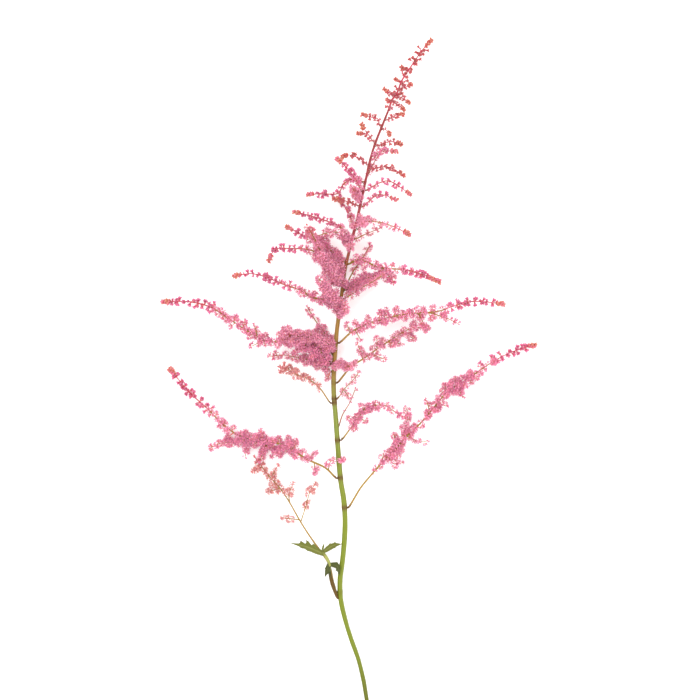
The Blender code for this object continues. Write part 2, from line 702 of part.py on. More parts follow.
def main():
    for old in list(bpy.data.objects):
        bpy.data.objects.remove(old)
    plant = bpy.data.collections.new("astilbe stem")
    cutters = bpy.data.collections.new("cutters")
    cutters.hide_render = True
    for made in (plant, cutters):
        bpy.context.scene.collection.children.link(made)

    rng = random.Random(SEED)
    room = Room()
    stem_path = smooth([place(spot) for spot in STEM], STEM_STEP)
    sprays = (*SPRAYS, TOP_SPRAY)
    paths = {spray.name: spray_paths(spray, stem_path) for spray in sprays}
    for spot in smooth(stem_path, 1.0):
        room.fill("main_stem", spot, stem_radius(spot.y + MIDDLE_Y) * STEM_KNOT)
    for spray in sprays:
        stalk, twigs = paths[spray.name]
        fill_stalk(room, spray.name, stalk, 1.0)
        for twig in twigs:
            fill_stalk(room, spray.name, twig, TWIG_SCALE)
    for shape in BLADES:
        for share in numpy.arange(0.1, 1.0, 0.2):
            room.fill("leaf", place(shape.base).lerp(place(shape.tip), share), shape.width / 2)

    grow_leaf(stem_path, plant)
    for spray in sprays:
        grow_spray(spray, paths[spray.name], rng, room, plant)
    grow_stem(stem_path, paths, plant, cutters)


main()
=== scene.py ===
"""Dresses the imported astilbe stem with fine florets, a ribbed stem and a veined leaf, and lights it.

Places in the lists are in millimetres, as on the solids: right of the plume's middle line, on from the
cut end, and height over the surface.
"""

import math
import random
from collections import namedtuple

import bpy
import numpy as np
from bpy.props import FloatProperty, FloatVectorProperty, IntProperty, PointerProperty
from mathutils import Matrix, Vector


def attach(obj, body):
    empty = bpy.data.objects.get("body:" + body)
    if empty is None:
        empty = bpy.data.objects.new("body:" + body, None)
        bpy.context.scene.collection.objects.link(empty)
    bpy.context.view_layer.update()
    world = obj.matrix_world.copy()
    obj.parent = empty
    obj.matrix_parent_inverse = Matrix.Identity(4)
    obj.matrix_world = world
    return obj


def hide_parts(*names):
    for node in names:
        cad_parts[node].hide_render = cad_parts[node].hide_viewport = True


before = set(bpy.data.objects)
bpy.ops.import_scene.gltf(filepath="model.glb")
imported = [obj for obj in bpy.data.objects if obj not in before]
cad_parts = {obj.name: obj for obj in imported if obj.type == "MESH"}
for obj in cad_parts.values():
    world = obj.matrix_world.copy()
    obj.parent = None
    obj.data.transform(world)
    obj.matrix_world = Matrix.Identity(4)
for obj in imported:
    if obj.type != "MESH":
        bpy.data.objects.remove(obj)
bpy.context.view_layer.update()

bl_info = {
    "name": "Astilbe Stem",
    "version": (1, 0, 0),
    "blender": (4, 5, 0),
    "location": "View3D > Sidebar > Astilbe",
    "description": "A cut astilbe stem with its leaf and its plume of pink florets, lying down",
    "category": "Add Mesh",
}

MM = 0.001
BODY = "root"
MIDDLE_X = -0.6
MIDDLE_Y = 269.4
GOLDEN_ANGLE = math.pi * (3 - math.sqrt(5))
FULL_TURN = 2 * math.pi
UP = Vector((0, 0, 1))
LOWEST = 0.02

STEM_AT = (0, 40, 64, 88, 120, 200, 250, 296, 352, 408, 448, 481)
STEM_RADII = (1.67, 1.7, 1.8, 1.97, 2.12, 2.1, 1.9, 1.8, 1.25, 1.0, 0.9, 0.8)
STEM = (
    (14.5, 0, 1.45), (12.6, 12, 1.45), (10.5, 24, 1.7), (6.5, 40, 2.7), (0.8, 56, 4.2), (-4, 72, 5.8),
    (-7.5, 88, 7.4), (-8, 104, 9), (-6, 120, 10.4), (-4.5, 136, 11.8), (-4, 152, 13), (-5, 168, 14.3),
    (-7.5, 184, 15.5), (-9.5, 208, 17.3), (-11.2, 232, 19), (-13, 256, 20.5), (-12.4, 280, 21.8),
    (-10.4, 304, 22.6), (-7.2, 328, 23), (-4, 352, 22.8), (1.6, 376, 22), (7.4, 400, 21),
    (12.6, 424, 19.4), (18.4, 448, 17.3), (27.6, 472, 15), (31.2, 481, 14.2),
)

# A spray: name, pink, how far on it leaves the stem, size, places of its stalk and of its twigs, and form.
Spray = namedtuple("Spray", "name pink at size route twigs form")


def numbered(pattern, rows):
    """The sprays of one side, numbered from the cut end."""
    return tuple(Spray(pattern.format(number), *row) for number, row in enumerate(rows, 1))


# A form says how a stalk fills out from its foot to its tip: share of the way, reach, branchlets per
# centimetre, and age from open florets at 0 to the last buds at 1.
MASS = ((0.06, 7, 11, 0), (0.6, 7, 11, 0.1), (1, 5, 9, 0.28))
TUFT = ((0.35, 3, 5.5, 0.2), (1, 3.6, 8, 0.3))
THIN = ((0.08, 2.4, 4.4, 0.5), (0.6, 2.9, 4.4, 0.62), (1, 2.6, 4.8, 0.98))
SMALL = ((0.12, 2.1, 5, 0.6), (0.7, 2.6, 4.8, 0.75), (1, 2.6, 5.2, 0.98))
BARE_TIP = ((0.5, 1.1, 2.4, 0.48), (1, 1.1, 2.4, 0.48))
FADING = ((0.03, 4.5, 8, 0.15), (0.3, 3.2, 7, 0.4), (0.6, 2.6, 5.6, 0.6), (1, 2, 5, 0.98))

LEFT_SPRAYS = numbered("spray_left_{:02}", (
    ("salmon", 94, 0.9, (
        (-12.6, 97, 6.8), (-14, 104, 6.5), (-16.5, 115, 7), (-21, 123, 8.5), (-32, 138.5, 10.5),
        (-40, 151, 10.5), (-48, 165, 9.5), (-56, 177, 8), (-66, 188, 6.5), (-76, 201.5, 4.5),
    ), (
        ((-39, 150, 10.5), (-35, 164, 13), (-32, 175, 13), (-28, 180, 12)),
        ((-48, 165, 9.5), (-49, 172, 12), (-46, 180, 13)), ((-41, 152, 10.5), (-53.5, 153.5, 8)),
        ((-56, 177, 8), (-66, 174.5, 6)), ((-63, 185, 7), (-58.5, 194.5, 8)),
        ((-71, 194, 6), (-77, 191, 4)),
    ), ((0.72, 4.8, 6, 0.25), (0.8, 5.8, 7, 0.3), (0.9, 3.2, 5, 0.4), (1, 2.2, 4, 0.6))),
    ("bright", 186, 1, (
        (-20, 194, 17), (-36, 201.5, 17.5), (-49.5, 210.5, 16), (-70.5, 216, 13), (-88, 219, 10),
        (-102.5, 229, 8), (-115, 241.5, 7), (-128, 253, 6), (-137.5, 264, 4.4), (-145, 273.5, 3),
    ), (
        ((-80, 217, 11), (-92, 214.5, 8), (-104, 213, 6), (-112, 209.5, 4)),
        ((-66, 215, 14), (-72, 200, 8)),
        ((-17, 192, 17), (-16, 198.5, 23), (-9.5, 201.5, 25), (-5.5, 201, 25.5)),
        ((-29, 198, 17), (-28, 190, 14)), ((-34, 201, 17), (-27, 207, 21)), ((-81, 218, 11), (-84, 203, 7)),
        ((-53, 211, 15), (-62, 203, 10)),
    ), (
        (0.17, 4, 5, 0.1), (0.2, 6, 6, 0.05), (0.28, 9, 8, 0), (0.48, 8.8, 10, 0.05), (0.55, 6.4, 7, 0.2),
        (0.63, 6, 5, 0.35), (0.7, 5.6, 4.6, 0.45), (0.75, 5.4, 3.8, 0.56), (0.85, 4.3, 3.4, 0.75),
        (0.97, 2.6, 3.6, 0.97),
    )),
    ("salmon", 246, 0.9, (
        (-24, 257.5, 22), (-33.5, 265, 22.5), (-44, 269, 21), (-50.5, 273.5, 19.5), (-56, 272, 18),
    ), (), (
        (0.28, 3, 5, 0.3), (0.45, 4, 6, 0.25), (0.6, 5.4, 6.5, 0.25), (0.85, 5.2, 7, 0.35), (1, 3, 4, 0.6),
    )),
    ("bright", 277, 1, (
        (-24, 286.5, 27), (-40, 293.5, 30), (-52, 296, 29), (-64, 294.5, 27), (-81.5, 303, 23),
        (-97.5, 313.5, 18), (-112, 322.5, 13), (-128, 326.5, 9), (-144, 327, 6), (-151, 326.5, 4.5),
    ), (
        ((-68, 296, 26), (-78.5, 291, 22)), ((-73, 298.5, 25), (-76, 307, 26)),
    ), (
        (0.03, 9, 12, 0), (0.2, 8.5, 12, 0), (0.27, 5.8, 9, 0.1), (0.4, 6.2, 8, 0.15),
        (0.47, 5.2, 6.4, 0.3), (0.6, 6.2, 6, 0.36), (0.7, 5.6, 5, 0.45), (0.78, 5, 4.2, 0.6),
        (0.9, 3.8, 4, 0.8), (0.98, 2.2, 3.8, 0.97),
    )),
    ("mauve", 289, 1, (
        (-20, 295, 34), (-32, 298, 40), (-52, 300, 43),
    ), (), (
        (0.03, 4.5, 9, 0), (0.4, 4.5, 9, 0), (0.6, 8, 11, 0), (0.75, 9.5, 11, 0.05), (1, 8.5, 11, 0.05),
    )),
    ("mauve", 271, 1, (
        (-25.5, 278.5, 17), (-40, 281.5, 14), (-53.5, 284, 11), (-64, 283, 9),
    ), (), ((0.03, 7, 10, 0), (0.45, 6.5, 9, 0.1), (0.55, 4.5, 5, 0.25), (1, 2.4, 4.5, 0.5))),
    ("bright", 325, 1, (
        (-20, 328, 27), (-32, 330.5, 28), (-37.5, 335, 27.5), (-52, 340, 25), (-68, 346.5, 21),
        (-80, 349, 18), (-93.5, 347, 15),
    ), (), (
        (0.03, 8, 11, 0), (0.15, 6, 9, 0.1), (0.25, 5, 6.5, 0.25), (0.4, 5, 5.5, 0.4), (0.48, 4, 4.6, 0.5),
        (0.6, 3.6, 4.4, 0.6), (0.97, 2.3, 4.4, 0.97),
    )),
    ("bright", 347, 0.95, (
        (-16, 356, 27), (-24, 364, 29), (-33.5, 368, 28), (-49.5, 369, 24), (-57.5, 369, 21),
        (-62.5, 365, 19), (-65, 358.5, 17),
    ), (), (
        (0.03, 8, 11, 0), (0.35, 7, 10, 0.1), (0.43, 3, 5, 0.4), (0.52, 2.6, 4, 0.5), (0.7, 3.4, 4.4, 0.6),
        (0.97, 2.4, 4.4, 0.97),
    )),
    ("bright", 358, 0.9, (
        (-16, 368, 23), (-25.5, 376, 21), (-36, 379, 19), (-51, 387, 16),
    ), (), ((0.03, 7, 11, 0.05), (0.5, 6, 9, 0.15), (0.65, 3.6, 6, 0.42), (1, 2.4, 5.2, 0.98))),
    ("crimson", 353, 0.9, (
        (-20, 361.5, 40), (-28, 376, 46), (-33.5, 385.5, 48),
    ), (), ((0.05, 6, 10, 0.05), (0.7, 5.2, 9, 0.2), (0.85, 4.4, 9, 0.42), (1, 4, 9, 0.6))),
    ("bright", 377, 0.9, (
        (-8, 386.5, 22), (-14.5, 389.5, 21), (-30.5, 395, 18), (-45.5, 399, 15),
    ), (), ((0.03, 4, 7, 0.2), (0.2, 3.2, 5.5, 0.4), (0.35, 3.2, 5.4, 0.55), (1, 2.4, 5.4, 0.98))),
    ("mauve", 372, 0.95, (
        (-8, 381, 33), (-17.5, 381, 37), (-25.5, 378.5, 38),
    ), (), ((0.03, 5.4, 10, 0.1), (0.5, 4.4, 8, 0.25), (1, 3, 6, 0.4))),
    ("crimson", 403, 0.75, ((0, 405.5, 20), (-6.5, 408, 19), (-13.5, 409, 18)), (), SMALL),
    ("bright", 415, 0.8, (
        (5, 423, 24), (-1.5, 432, 26), (-11, 441, 27),
    ), (), ((0.03, 4, 8, 0.35), (0.3, 3.2, 6, 0.5), (1, 2.6, 5.6, 0.98))),
    ("bright", 422, 0.8, (
        (3, 425, 16), (-5, 421, 14), (-9.5, 413.5, 12), (-20, 413, 11), (-34.5, 413, 9),
    ), (), ((0.03, 4.2, 8, 0.35), (0.2, 2.8, 5, 0.5), (0.5, 2.8, 4.6, 0.55), (1, 2.4, 4.8, 0.98))),
    ("crimson", 436, 0.75, ((9.5, 440, 18), (0, 444, 17), (-6.5, 442.5, 16)), (), SMALL),
    ("crimson", 454, 0.7, (
        (16, 458.5, 17), (12.8, 462.5, 16), (9, 469, 15),
    ), (
        ((14.5, 460.5, 16.5), (6.5, 461.5, 14)),
    ), SMALL),
    ("crimson", 467, 0.7, ((22.5, 473, 15), (17, 474.5, 14), (9.5, 477, 13)), (), SMALL),
))

RIGHT_SPRAYS = numbered("spray_right_{:02}", (
    ("bright", 162, 0.95, (
        (8, 177, 15), (16, 187, 16), (24, 196, 16), (31, 203, 16), (44, 217.5, 15), (56, 229, 14),
        (65.5, 240, 13), (78.5, 255, 12), (94.5, 265, 10), (110.5, 276, 8), (126.5, 285, 6.5),
        (142.5, 290.5, 4.4), (149.5, 292, 3.2),
    ), (
        ((31, 203, 16), (34.5, 197, 13), (41.5, 197.5, 11)),
        ((46, 219, 15), (56, 214.5, 12), (61.5, 215, 11)),
        ((43, 217, 15), (45, 228, 12), (46.5, 237.5, 11), (45, 241.5, 10)),
        ((25, 197, 16), (27, 205.5, 19)), ((38, 211, 15), (35, 220, 18)), ((64, 238, 13), (61, 248, 14)),
        ((70, 245, 13), (77, 243, 10)), ((84, 259, 11), (90.5, 251, 8)),
    ), (
        (0.18, 3, 2.6, 0.35), (0.24, 6, 5.4, 0.2), (0.3, 7.5, 8, 0.05), (0.36, 7, 8, 0.1),
        (0.42, 5, 5.5, 0.2), (0.5, 6.5, 6.5, 0.2), (0.6, 7.6, 9, 0.2), (0.68, 7.6, 9, 0.3),
        (0.75, 6.8, 8, 0.4), (0.84, 4.8, 4.4, 0.5), (0.92, 3.6, 3.8, 0.7), (0.985, 2.3, 3.8, 0.97),
    )),
    ("bright", 216, 0.9, (
        (1.5, 227, 21), (9, 237.5, 24), (13.5, 242.5, 25), (27, 244, 25), (37.5, 237.5, 24),
        (43, 234.5, 23),
    ), (
        ((4, 231, 22), (-1, 234, 25)), ((7, 235, 23), (12, 231, 22)),
    ), (
        (0.2, 5.4, 7.5, 0.1), (0.3, 6.6, 10, 0), (0.55, 6.4, 10, 0.1), (0.62, 4.8, 7, 0.25),
        (0.8, 3.4, 5.5, 0.42), (1, 2, 4, 0.5),
    )),
    ("mauve", 249, 0.85, (
        (-4, 257.5, 27), (1.5, 263, 31), (6.5, 269.5, 34),
    ), (
        ((-5, 256, 26), (-1, 251, 28)),
    ), ((0.25, 2.3, 3.6, 0.3), (1, 2.6, 4.6, 0.35))),
    ("mauve", 262, 1, (
        (0, 273.5, 19), (13.5, 283, 17), (25, 291, 15), (37, 299, 13), (49.5, 305.5, 11), (61, 305.5, 9),
    ), (
        ((10.5, 281, 17), (6.5, 292, 19)), ((22, 289, 15), (21.5, 297, 17)),
        ((16, 285, 16.5), (27, 281, 13)), ((31, 295, 14), (41, 293, 11)), ((43, 302, 12), (51, 297, 8)),
    ), ((0.17, 5, 3.4, 0.1), (0.3, 7, 4.2, 0.1), (0.6, 7, 4.6, 0.15), (1, 5.6, 5.5, 0.25))),
    ("bright", 294, 1, (
        (1.5, 302.5, 27), (14.5, 309, 29), (24, 312, 29), (36, 315, 28), (48, 317, 26), (70.5, 319, 20),
        (85, 324, 15), (101, 327, 10), (124, 325, 5),
    ), (
        ((62, 318, 22), (76, 314, 17), (86.5, 309, 12)), ((0, 301, 26), (-2, 308, 29)),
        ((4, 304, 27), (8, 297, 27)), ((54, 318, 25), (60, 307, 21)),
    ), (
        (0.1, 4, 4, 0.1), (0.16, 6, 6, 0.1), (0.25, 7.4, 6.6, 0.1), (0.5, 7.4, 6.6, 0.2),
        (0.63, 5.6, 6, 0.35), (0.7, 4.4, 5, 0.5), (0.78, 3.6, 3.8, 0.65), (0.9, 2.9, 3.8, 0.88),
        (0.975, 2.2, 3.8, 0.97),
    )),
    ("mauve", 329, 0.95, (
        (9.5, 337.5, 34), (18.5, 342.5, 37), (25.5, 347, 38),
    ), (), ((0.1, 4, 5, 0.15), (1, 4.5, 6, 0.3))),
    ("bright", 336, 0.95, (
        (6.5, 343, 25), (20, 347, 24), (28, 349, 22), (33, 345.5, 21), (34.5, 341.5, 20),
    ), (), ((0.06, 7.5, 9, 0.05), (0.8, 6, 9, 0.2), (1, 2.4, 5, 0.6))),
    ("bright", 357, 0.95, (
        (6.5, 360.5, 27), (14.5, 357.5, 28), (24, 353.5, 28), (42.5, 352, 24), (59, 348, 18),
        (72, 342.5, 13),
    ), (), (
        (0.05, 5.5, 7, 0.1), (0.45, 5, 8, 0.2), (0.52, 4, 6, 0.42), (0.75, 3.2, 5.2, 0.6),
        (0.86, 2.4, 5, 0.98),
    )),
    ("crimson", 377, 0.8, ((12, 380.5, 16), (24, 385.5, 11)), (), ((0.1, 3, 4, 0.35), (1, 2.4, 4, 0.5))),
    ("bright", 385, 0.85, (
        (13, 390.5, 22), (28, 389, 20), (42.5, 383, 17), (48, 380, 16),
    ), (), (
        (0.03, 4.4, 8, 0.2), (0.2, 5, 7, 0.25), (0.5, 3.6, 5, 0.36), (0.8, 3, 4.8, 0.55),
        (0.9, 2.6, 5, 0.98),
    )),
    ("bright", 403, 0.8, ((20, 411, 20), (26.5, 412, 18), (37, 408, 15)), (), THIN),
    ("bright", 416, 0.8, ((24, 421.5, 23), (32, 422.5, 23), (43, 416, 20), (49, 412, 17)), (), THIN),
    ("crimson", 433, 0.75, ((26.5, 434.5, 15), (33.5, 433.5, 14), (44, 427, 11)), (), SMALL),
    ("bright", 441, 0.75, (
        (22.5, 445.5, 20), (29, 447, 21), (37.5, 446.5, 20),
    ), (), ((0.02, 3.6, 11, 0.45), (0.6, 3.2, 11, 0.46), (0.72, 1.8, 5, 0.98))),
    ("crimson", 452, 0.7, ((32, 455, 13), (41.5, 453, 11)), (), SMALL),
    ("crimson", 465.5, 0.65, ((30, 463, 18), (32, 459, 20)), (), SMALL),
    ("crimson", 473, 0.65, ((35, 475, 14.5), (40, 477, 14), (43, 476.5, 13)), (), SMALL),
))

FRONT_SPRAYS = numbered("spray_front_{}", (
    ("mauve", 274, 0.95, (
        (-9, 277, 38), (-4, 276, 50), (0, 275, 58),
    ), (), ((0.1, 4.5, 9, 0.05), (1, 4, 9, 0.25))),
    ("mauve", 316, 0.9, ((-6, 318.5, 38), (-3, 320, 46)), (), ((0.2, 5, 7, 0.15), (1, 5.5, 7, 0.3))),
    ("mauve", 323, 1, ((-14, 330, 42), (-20, 338, 52), (-24, 344, 58)), (), MASS),
    ("mauve", 341, 1, ((-12, 347, 42), (-18, 355, 51), (-22, 362, 56)), (), MASS),
    ("mauve", 367, 0.85, ((0.5, 370, 36), (1, 372, 44)), (), ((0.3, 2.8, 5, 0.3), (1, 3.2, 6, 0.35))),
    ("mauve", 390, 0.85, ((9, 389, 38), (10, 388, 46)), (), ((0.1, 5.2, 7, 0.1), (1, 5.2, 8, 0.3))),
    ("mauve", 408, 0.8, ((5, 412, 34), (2, 416, 42)), (), ((0.02, 5.2, 11, 0.3), (1, 4.6, 11, 0.42))),
))

UNDER_SPRAYS = numbered("spray_under_{}", (
    ("mauve", 226, 0.95, ((-6, 236, 9), (0, 246, 5), (4, 256, 1.9)), (), BARE_TIP),
    ("mauve", 284, 0.95, (
        (-20, 300, 10), (-28, 312, 5), (-34, 322, 1.9),
    ), (), ((0.1, 6, 8, 0.1), (0.55, 5.5, 7, 0.15), (0.7, 1.5, 3, 0.2), (1, 1.1, 3, 0.48))),
    ("mauve", 336, 0.95, (
        (2, 350, 11), (10, 362, 5.5), (16, 372, 1.9),
    ), (), ((0.4, 1.6, 4.4, 0.3), (1, 1.8, 4.4, 0.45))),
    ("mauve", 386, 0.85, ((0, 396, 9), (-5, 404, 5), (-9, 410, 1.9)), (), FADING),
    ("mauve", 428, 0.8, (
        (19, 438, 8), (24, 446, 4.6), (28, 452, 1.7),
    ), (), ((0.15, 2.4, 5, 0.4), (0.5, 1.4, 4, 0.5), (1, 1.1, 3, 0.5))),
))

TOP_SPRAY = Spray("top_spray", "crimson", 481, 0.62, (
    (33.6, 488, 13.5), (38, 494.5, 13), (41.6, 504, 12), (48.4, 514.5, 11), (57.6, 528, 9.5),
    (65.6, 537, 8),
), (
    ((32.8, 485, 13.8), (28.8, 489, 14)), ((36.8, 492, 13), (32, 493.6, 13), (27.2, 497, 12)),
    ((40.8, 502.5, 12), (36, 505.5, 12)), ((45.6, 511, 11), (41, 515, 11)),
    ((33.5, 487, 13.6), (40, 483, 13), (44, 480, 12)),
    ((37, 492, 13.2), (42.4, 489.5, 12), (48, 485.5, 11)),
    ((39.5, 497, 12.7), (44.8, 498.5, 12), (49.6, 501.5, 11)),
), ((0.02, 3.4, 4, 0.6), (0.35, 5.6, 3.8, 0.75), (0.8, 6, 3.8, 0.9), (0.88, 4.6, 4, 0.98)))

LEAF_AT = 89.5
LEAF_STALK = (
    (-13.5, 99, 10.5), (-16, 108, 12), (-16.2, 116, 12.5), (-19, 122, 12.6), (-22.4, 127, 12.6),
)
LEAF_STALK_RADII = (0.8, 1.4, 1.75, 1.2, 0.9, 1.3, 0.9)
# A leaflet's teeth: share of the way, side (1 is its right, -1 its left) and size.
Leaflet = namedtuple("Leaflet", "base bend tip width slim fold shade teeth")
LEAFLETS = (
    Leaflet((-20.5, 124.4, 12.6), (-34, 130.2, 12.2), (-50.5, 133.8, 9.5), 6.8, 0.8, 0.3, 0.15, (
        (0.31, 1, 1.6), (0.45, 1, 3.6), (0.61, 1, 2.2), (0.42, -1, 0.5), (0.6, -1, 0.5),
    )),
    Leaflet((-21.6, 126.2, 12.6), (-13.8, 131.4, 14.2), (-6, 133, 16.4), 4.6, 0, 0.4, 0.3, (
        (0.45, -1, 0.8), (0.66, -1, 0.7), (0.6, 1, 0.6),
    )),
    Leaflet((-22.2, 126.4, 12.8), (-21.6, 130, 14), (-20.4, 133.8, 15), 1.7, 0, 0.2, 0.2, ()),
    Leaflet((-16.8, 117.4, 12.5), (-18.2, 111.4, 13.4), (-20.4, 105.8, 13.4), 4.6, 0.35, 0.3, 1, (
        (0.4, 1, 0.5), (0.62, -1, 0.6),
    )),
    Leaflet((-16.4, 116.4, 12.5), (-10.2, 115, 14.6), (-8.4, 107.4, 15.8), 4.8, 0.2, 0.3, 0.9, (
        (0.36, -1, 0.8), (0.66, 1, 0.8),
    )),
)
BLADE_ROWS, BLADE_COLUMNS = 26, 4
TOOTH_WIDTH = 0.065
SIDE_VEINS = 7

# The materials of each piece, in the order of its slots.
PETAL, BUDDED, STALK, ANTHER = range(4)
SKIN, BARK, DOWN = range(3)
BLADE, RACHIS = range(2)
GLOSS = 0.25
GLOW_REACH = (1.0, 0.5, 0.6)

# How florets grow. Lengths are in millimetres, and a pair holds the ends of a range.
CLUB_LENGTH, CLUB_KNOT = 7.0, 4  # of the close-set buds at a stalk's end, and the buds in each of its knots
CLUB_AGE = 0.9  # past this age a stalk ends in a club
YOUNG = 0.47  # up to this age florets grow in clumps, and then as slender teeth across the stalk
OPEN, HALF_OPEN = 0.5, 0.22  # least openness of an open and of a half-open floret
FIRST_LEAN, SIDE_LEAN = (0, 0.35), (0.7, 1.35)  # of a clump's first floret, and of the others
CLUMP_CROWD = 0.82  # florets for each millimetre of a clump's reach
CLUMP_GAP, TEETH_GAP = 10, 18  # divided by the form's crowd
SPARSE, BARE_CHANCE, BARE_GAP = 8.5, 0.14, (1.5, 3.5)  # below this crowd the stalk shows bare now and then
WAVE, LOOSE_WAVE, DENSE_WAVE, DENSE = 0.62, 0.35, 0.12, 9  # the outline's swelling, less from this crowd on
FLOOR_MARGIN = 2.0  # branchlets that would come lower are turned up
ALL_TEETH, LONE_BUD = 0.58, 0.1  # past this age no tooth is half open, and the share of buds among them
TOOTH_LENGTH, TOOTH_ROOM = 3.2, 2.6  # the most, and the reach from which a tooth has a bud beside it
STALK_STEP, FOOT_LENGTH = 2.5, 4.5  # between a stalk's rings, and how far up it the brown fades

STEM_SEED = 5
LOW_KNOTS, LOW_BRACTS = 260, 300  # rows up to which knots and bracts are large
# A bract from its foot to its tip: share of the way, half width, and shade.
BRACT = ((0.1, 0.9, 0.2), (0.35, 1.25, 0.45), (0.65, 0.8, 0.75), (0.85, 0.35, 0.9))

# The stage, in metres but for what the camera aims at: each light's setting, place and width.
AIM = (0, 288, 15)
FLOOR_SIZE = 6.0
VIEW_END = 20.0
SKY_TONE = (1.0, 0.99, 0.985, 1.0)
LIGHTS = (("key", (-0.6, 0.5, 3.0), 1.6), ("fill", (1.5, -0.9, 1.6), 1.8))

Shape = namedtuple("Shape", "points faces along finish")


def srgb(red, green, blue):
    """A colour given as a screen shows it, from 0 to 255, as the light that it sends back."""
    return tuple(((share / 255 + 0.055) / 1.055) ** 2.4 for share in (red, green, blue))


def place(spot):
    """A place in the lists, in millimetres from the origin under the middle."""
    return Vector((spot[0] - MIDDLE_X, spot[1] - MIDDLE_Y, spot[2]))


def colour(name, description, tone):
    return FloatVectorProperty(
        name=name, description=description, default=tone, subtype="COLOR", size=3, min=0.0, max=1.0
    )


def length(name, description, millimetres):
    return FloatProperty(name=name, description=description, default=millimetres * MM, unit="LENGTH")


class AstilbeStem(bpy.types.PropertyGroup):
    """The stem's form and its colours from the cut end to the plume."""

    sides: IntProperty(name="Sides", description="Faces round the stem", default=24, min=8)
    step: length("Step", "Distance between the stem's rings", 1.5)
    rib_count: IntProperty(name="Ribs", description="Fine ribs along the stem", default=7, min=0)
    rib_depth: length("Rib Depth", "How far the ribs stand out", 0.07)
    knot_swell: length("Knot Swell", "How far the stem swells where a spray leaves it", 0.3)
    hair_length: length("Hair Length", "Length of the down on the upper stem", 0.8)
    hairs: IntProperty(name="Hairs", description="Number of hairs on the stem", default=2200, min=0)
    olive: colour("Olive", "Colour near the cut end", srgb(84, 86, 5))
    green: colour("Green", "Colour under the plume", srgb(115, 127, 24))
    ochre: colour("Ochre", "Colour in the lower plume", srgb(146, 108, 44))
    rose: colour("Rose", "Colour in the upper plume", srgb(146, 43, 58))
    bark: colour("Bract", "Colour of the bracts and knots", srgb(84, 54, 18))


class AstilbeFlorets(bpy.types.PropertyGroup):
    """Sizes of the florets and the pinks of the sprays."""

    petal: length("Petal", "Length of an open floret's petals", 2.5)
    bud: length("Bud", "Length of a bud", 2.2)
    mauve: colour("Mauve", "Petals of the sprays in the plume's middle", srgb(242, 140, 172))
    bright: colour("Bright Pink", "Petals of the long side sprays", srgb(248, 132, 172))
    salmon: colour("Salmon", "Petals of the lowest sprays", srgb(228, 146, 138))
    crimson: colour("Crimson", "Petals of the highest sprays", srgb(210, 100, 96))
    bud_red: colour("Bud Red", "Colour of a bud's middle", srgb(192, 58, 84))
    bud_tip: colour("Bud Tip", "Colour of a bud's tip", srgb(144, 48, 88))
    coral: colour("Coral", "Colour of the last buds", srgb(178, 88, 58))
    tan: colour("Tan", "Colour of the side stalks near the stem", srgb(144, 116, 52))
    blush: colour("Blush", "Colour of the side stalks further out", srgb(168, 66, 72))
    anther: colour("Anther", "Colour of the anthers", srgb(176, 84, 128))


class AstilbeLeaf(bpy.types.PropertyGroup):
    """The leaf's thickness and colours."""

    thickness: length("Thickness", "Thickness of the blades", 0.45)
    blade: colour("Blade", "Colour of the blades", srgb(88, 92, 31))
    dark: colour("Dark Blade", "Colour of the lower lobes", srgb(47, 54, 12))
    vein: colour("Vein", "Colour of the veins and the stalk", srgb(146, 148, 78))
    sheath: colour("Sheath", "Colour of the brown sheath", srgb(84, 60, 16))


class AstilbeStage(bpy.types.PropertyGroup):
    """Floor, lights and camera."""

    floor: colour("Floor", "Colour of the floor", (0.97, 0.97, 0.96))
    distance: length("Camera Distance", "Height of the camera over the stem", 2600.0)
    frame_width: length("Frame Width", "Width of what the camera sees at the stem", 560.0)
    key: FloatProperty(name="Key", description="Power of the key light", default=46.0, unit="POWER")
    fill: FloatProperty(name="Fill", description="Power of the fill light", default=18.0, unit="POWER")
    sky: FloatProperty(name="Sky", description="Strength of the light from all round", default=1.42)


class Wire:
    """An output of a shader node. Plain sums on it make Math nodes."""

    def __init__(self, paint, socket):
        self.paint, self.socket = paint, socket

    def __add__(self, other):
        return self.paint.maths("ADD", self, other)

    def __sub__(self, other):
        return self.paint.maths("SUBTRACT", self, other)

    def __rsub__(self, other):
        return self.paint.maths("SUBTRACT", other, self)

    def __mul__(self, other):
        return self.paint.maths("MULTIPLY", self, other)

    __radd__ = __add__
    __rmul__ = __mul__


